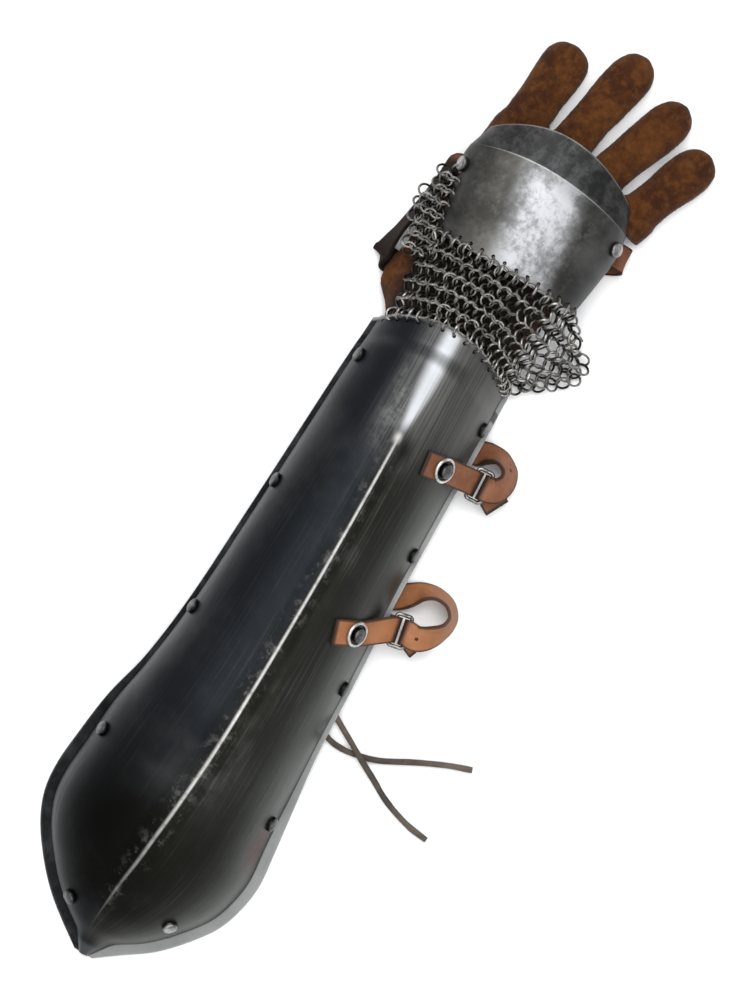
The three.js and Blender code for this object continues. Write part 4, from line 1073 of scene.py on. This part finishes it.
# A strap as a grid along its stations, thickened and with its edges rounded.
def ribbon(name, stations, width, thickness, rows, darkAt=None, columns=8):
    lengths = [0.0]
    for a, b in zip(stations, stations[1:]):
        lengths.append(lengths[-1] + (b[0] - a[0]).length)
    points = [s[0] for s in stations]
    widths = [s[1] for s in stations]

    def pointAt(u, v):
        at = u * lengths[-1]
        k = max(i for i in range(len(lengths)) if lengths[i] <= at + 1e-9)
        k = min(k, len(stations) - 2)
        share = (k + (at - lengths[k]) / (lengths[k + 1] - lengths[k])) / (len(stations) - 1)
        ahead = curvePoint(points, min(1, share + 0.002)) - curvePoint(points, max(0, share - 0.002))
        across = curvePoint(widths, share)
        across = (across - ahead.normalized() * across.dot(ahead.normalized())).normalized()
        point = curvePoint(points, share) + across * (v - 0.5) * width
        point.z = max(point.z, thickness / 2 + 0.2)
        return point

    # burnished ends, and the painted shade that the piece gives for its own shaded places
    def shadeAt(u, v):
        fromEnd = min(u, 1 - u) * lengths[-1]
        return max(1 - smooth(fromEnd, 0.9, 2.6), darkAt(pointAt(u, v)) if darkAt else 0)

    piece = gridPiece(name, rows, columns, pointAt, shadeAt)
    applyModifier(piece, "SOLIDIFY", thickness=(thickness - 0.1) / 1000, offset=0, use_even_offset=False)
    applyModifier(piece, "BEVEL", width=0.00045, segments=2, limit_method="ANGLE",
                  angle_limit=math.radians(60))
    return piece


def punch(piece, point, normal, radius, depth=6):
    startClean()
    bpy.ops.mesh.primitive_cylinder_add(vertices=20, radius=radius / 1000, depth=depth / 1000)
    cutter = bpy.context.object
    cutter.data.transform(standing(point, normal))
    cutWith(piece, cutter)


def wireLoopPlace(strap):
    square = math.radians(strap["square"])
    across = Vector((math.cos(square), math.sin(square), 0))
    heading = Vector((math.sin(square), -math.cos(square), 0))
    edge = -outlineAt(strap["along"], -1)
    x = strap["along"] * plate["length"] + strap["shift"]
    inner = Vector((x, edge - strap["out"], strapSizes["loopHeight"]))
    return across, heading, inner, inner + heading * strapSizes["loopGap"], edge, x


# Painted shade where a strap is folded round its wire loop.
def foldShade(strap):
    across, heading, inner, outer, edge, x = wireLoopPlace(strap)
    middle = (inner + outer) / 2

    def darkAt(point):
        gap = point - middle
        if gap.length > 16:
            return 0
        return 1 - smooth(abs(gap.dot(heading)) + 0.5 * max(0, gap.z), 3.4, 6.5)
    return darkAt


def makeShortStrap(strap):
    across, heading, inner, outer, edge, x = wireLoopPlace(strap)
    slant = widthDirection(strap["slant"], 0)
    rivet = platePoint(strap["along"], -strap["angle"])
    stations = []
    for step in (-18, -9, 0, 7):
        degrees = -strap["angle"] - step
        y = platePoint(strap["along"], degrees).y
        along = strap["along"] + (rivet.y - y) * math.tan(math.radians(strap["slant"])) / plate["length"]
        stations.append(onWall(platePoint(along, degrees), normalOf(platePoint, along, degrees),
                               strapSizes["gap"], slant))
    stations += turnRound(inner, heading, across, 62, -90, 5)
    stations.append((inner - Vector((0, 0, foldRadius())) - heading * strapSizes["wire"] * 1.6, across))
    piece = ribbon(strap["name"] + "_short_leather", stations, strapSizes["width"], strapSizes["thickness"],
                   70, foldShade(strap))
    punch(piece, rivet, normalOf(platePoint, strap["along"], -strap["angle"]), 2.2, 24)
    finished(piece, finishes[strap["finish"]], [strap["name"] + "_short"], 50)


def farStation(row, step):
    along, angle = row
    degrees = min(88, angle + step)
    return underWall(platePoint(along, degrees), normalOf(platePoint, along, degrees), plate["wall"],
                     Vector((-1, 0, 0)))


def makeLongStrap(strap):
    across, heading, inner, outer, edge, x = wireLoopPlace(strap)
    tailAcross = widthDirection(strap["square"] - 20, 0)
    below = outer - Vector((0, 0, foldRadius()))
    stations = []
    for share in (2.2, 1.3, 0.6):
        shift = Vector((-share * foldRadius(), 0, -share * foldRadius() * 0.9))
        stations.append((below + heading * share * foldRadius() * 1.6 + shift, tailAcross))
    fold = turnRound(outer, heading, across, -90, -270, 6)
    loop = [(Vector((x + a * strap["reach"], edge - o * strap["reach"], r * strapSizes["width"])),
             widthDirection(turn, lean)) for a, o, r, turn, lean in strap["loop"]]
    curve = refine([fold[-1]] + loop, 2)[1:]
    far = [farStation(rivets["thumb"][strap["far"]], step) for step in (18, 8, 0, -10)]
    floor = Vector((far[0][0].x, far[0][0].y * 0.86, strapSizes["thickness"] / 2 + strapSizes["gap"]))
    stations += fold + curve + [(floor, Vector((-1, 0, 0)))] + far
    piece = ribbon(strap["name"] + "_long_leather", stations, strapSizes["width"], strapSizes["thickness"],
                   260, foldShade(strap))
    spots = [station[0] for station in curve]
    for holeX, holeY in strap["holes"]:
        k = min(range(1, len(spots) - 1), key=lambda i: (spots[i].x - holeX) ** 2 + (spots[i].y - holeY) ** 2)
        normal = (spots[k + 1] - spots[k - 1]).cross(curve[k][1]).normalized()
        punch(piece, spots[k], normal, strapSizes["hole"])
    along, angle = rivets["thumb"][strap["far"]]
    punch(piece, platePoint(along, angle), normalOf(platePoint, along, angle), 2.2, 24)
    finished(piece, finishes[strap["finish"]], [strap["name"] + "_long"], 50)


# Round wire bent into a rectangle with round corners.
def makeWireLoop(strap):
    across, heading, inner, outer, edge, x = wireLoopPlace(strap)
    wide = strapSizes["width"] + 2 * strapSizes["side"] + strapSizes["wire"]
    startClean()
    bpy.ops.mesh.primitive_plane_add(size=0.001)
    piece = bpy.context.object
    piece.name = strap["name"] + "_loop_wire"
    piece.data.transform(Matrix.Diagonal((wide, strapSizes["loopGap"], 1, 1)))
    bpy.ops.object.mode_set(mode="EDIT")
    bpy.ops.mesh.select_all(action="SELECT")
    bpy.ops.mesh.bevel(offset=0.0018, segments=6, affect="VERTICES")
    bpy.ops.mesh.select_all(action="SELECT")
    bpy.ops.mesh.delete(type="ONLY_FACE")
    bpy.ops.object.mode_set(mode="OBJECT")
    bpy.ops.object.convert(target="CURVE")
    piece = bpy.context.object
    piece.data.bevel_depth = strapSizes["wire"] / 2000
    piece.data.bevel_resolution = 4
    bpy.ops.object.convert(target="MESH")
    piece = bpy.context.object
    middle = (inner + outer) / 2
    turn = Matrix.Rotation(math.radians(strap["square"]), 4, "Z")
    piece.data.transform(Matrix.Translation(toRow(middle)) @ turn)
    weld(piece, 0.00001)
    finished(piece, finishes["wire"], [strap["name"] + "_wire_loop"], 50)


def makeWasher(strap):
    r = rivets
    low = 2 * strapSizes["gap"] + strapSizes["thickness"]
    high = low + r["washerHeight"]
    inner = r["shank"] + strapSizes["gap"]
    wide = r["washer"]
    steps = [(inner, low), (wide * 0.97, low), (wide, low + 0.3), (wide * 0.99, low + 0.9),
             (wide * 0.95, high + 0.2), (wide * 0.88, high + 0.45), (wide * 0.81, high + 0.35),
             (wide * 0.76, high), (wide * 0.74, low + 0.8), (wide * 0.71, low + 0.5), (inner, low + 0.5)]
    piece = turned(strap["name"] + "_washer_ring", steps, 36)
    # the washer's inner recess is painted dark as shade
    radii = [math.hypot(vertex.co.x, vertex.co.y) * 1000 / wide for vertex in piece.data.vertices]
    shaded(piece, [1 - smooth(radius, 0.74, 0.79) for radius in radii])
    bpy.ops.object.mode_set(mode="EDIT")
    bpy.ops.mesh.select_all(action="DESELECT")
    bpy.ops.object.mode_set(mode="OBJECT")
    for face in piece.data.polygons:
        face.select = len(face.vertices) > 4
    bpy.ops.object.mode_set(mode="EDIT")
    bpy.ops.mesh.delete(type="FACE")
    bpy.ops.mesh.select_mode(type="EDGE")
    bpy.ops.mesh.select_all(action="DESELECT")
    bpy.ops.mesh.select_non_manifold()
    bpy.ops.mesh.bridge_edge_loops()
    bpy.ops.mesh.select_all(action="SELECT")
    bpy.ops.mesh.normals_make_consistent(inside=False)
    bpy.ops.object.mode_set(mode="OBJECT")
    point = platePoint(strap["along"], -strap["angle"])
    normal = normalOf(platePoint, strap["along"], -strap["angle"])
    piece.data.transform(standing(point, normal))
    finished(piece, finishes["washer"], [strap["name"] + "_washer"], 50)
    makeRivet(strap["name"] + "_rivet", "rivet", point, normal,
              low + r["washerHeight"] + r["gap"], plate["wall"] + r["gap"])


for strap in straps:
    makeShortStrap(strap)
    makeLongStrap(strap)
    makeWireLoop(strap)
    makeWasher(strap)
    print(strap["name"], "made")


# Lace tab and palm strap

palmStrap = {
    "gap": 0.54,
    # ahead, side, rise, turn, lean
    "rows": [(0.62, 0.85, 0.84, 182, 4), (0.6, 0.96, 0.66, 188, 14), (0.46, 1.0, 0.56, 222, 56),
             (0.26, 1.04, 0.47, 250, 68), (-0.08, 1.12, 0.43, 268, 70), (-0.31, 1.16, 0.44, 252, 52),
             (-0.38, 1.15, 0.36, 222, 8), (-0.38, 1.02, 0.14, 210, -2), (-0.42, 0.8, 0.075, 208, 0),
             (0.0, 0.1, 0.075, 212, 0), (0.48, -0.78, 0.08, 208, 0), (0.61, -1.12, 0.22, 192, 0),
             (0.65, -1.2, 0.48, 184, 0), (0.65, -1.13, 0.73, 180, 0), (0.65, -1.03, 0.85, 180, 0)],
}


def makeLaceTab():
    along, angle = rivets["little"][2]
    stations = []
    for step in (-8, 0, 6):
        degrees = -angle - step
        stations.append(underWall(platePoint(along, degrees), normalOf(platePoint, along, degrees),
                                  plate["wall"], Vector((1, 0, 0))))
    piece = ribbon("lace_tab_leather", stations, strapSizes["tab"], strapSizes["thickness"], 20, columns=20)
    punch(piece, platePoint(along, -angle), normalOf(platePoint, along, -angle), 2.2, 24)
    finished(piece, finishes["thong"], ["lace_tab"], 50)


def makePalmStrap():
    def inside(row, step):
        name, along, degrees = row
        degrees += step
        return underWall(handPoint(along, degrees), normalOf(handPoint, along, degrees),
                         hand["wall"] + palmStrap["gap"], Vector((-1, 0, 0)))

    # the strap's thumb side, lying in shadow, is painted near black
    def darkAt(point):
        return smooth(point.y, 38, 46) * (1 - smooth(point.x, 481, 487))

    stations = [inside(rivets["hand"][0], step) for step in (-10, 0, 10)]
    for ahead, side, rise, turn, lean in palmStrap["rows"]:
        point = Vector((hand["start"] + ahead * hand["length"], side * hand["halfWidth"],
                        rise * hand["edgeHeight"]))
        stations.append((point, widthDirection(turn, lean)))
    stations += [inside(rivets["hand"][1], step) for step in (-10, 0, 12)]
    piece = ribbon("palm_strap_leather", refine(stations, 2), strapSizes["width"], strapSizes["thickness"],
                   260, darkAt)
    for name, along, degrees in rivets["hand"]:
        punch(piece, handPoint(along, degrees), normalOf(handPoint, along, degrees), 2.2, 24)
    finished(piece, finishes["palmStrap"], ["palm_strap"], 50)


makeLaceTab()
makePalmStrap()
print("tab and palm strap made")


# Floor and light

studio = {"floor": 0.93, "world": 0.55}


def makeStudio():
    startClean()
    bpy.ops.mesh.primitive_plane_add(size=6, location=(0, 0, -0.0002))
    floor = bpy.context.object
    floor.name = "floor"
    f = Finish("pale floor", Roughness=0.9, Specular_IOR_Level=0.1)
    f.shader.inputs["Base Color"].default_value = (studio["floor"],) * 3 + (1,)
    floor.data.materials.append(f.material)
    world = bpy.data.worlds.new("studio")
    bpy.context.scene.world = world
    world.use_nodes = True
    background = world.node_tree.nodes["Background"]
    background.inputs["Color"].default_value = (0.95, 0.97, 1, 1)
    background.inputs["Strength"].default_value = studio["world"]
    for name, place, size, power in (("key", (0.75, 0.55, 1.7), 1.5, 28), ("fill", (-0.9, -0.4, 1.5), 1.7, 12),
                                     ("top", (0.35, -0.5, 1.9), 1.3, 11)):
        data = bpy.data.lights.new(name, "AREA")
        data.shape = "DISK"
        data.size = size
        data.energy = power
        light = bpy.data.objects.new(name, data)
        bpy.context.collection.objects.link(light)
        light.location = place
        light.rotation_euler = (Vector((0, 0, 0)) - Vector(place)).to_track_quat("-Z", "Y").to_euler()


makeStudio()
bpy.context.scene.view_settings.view_transform = "Standard"
print("studio made")
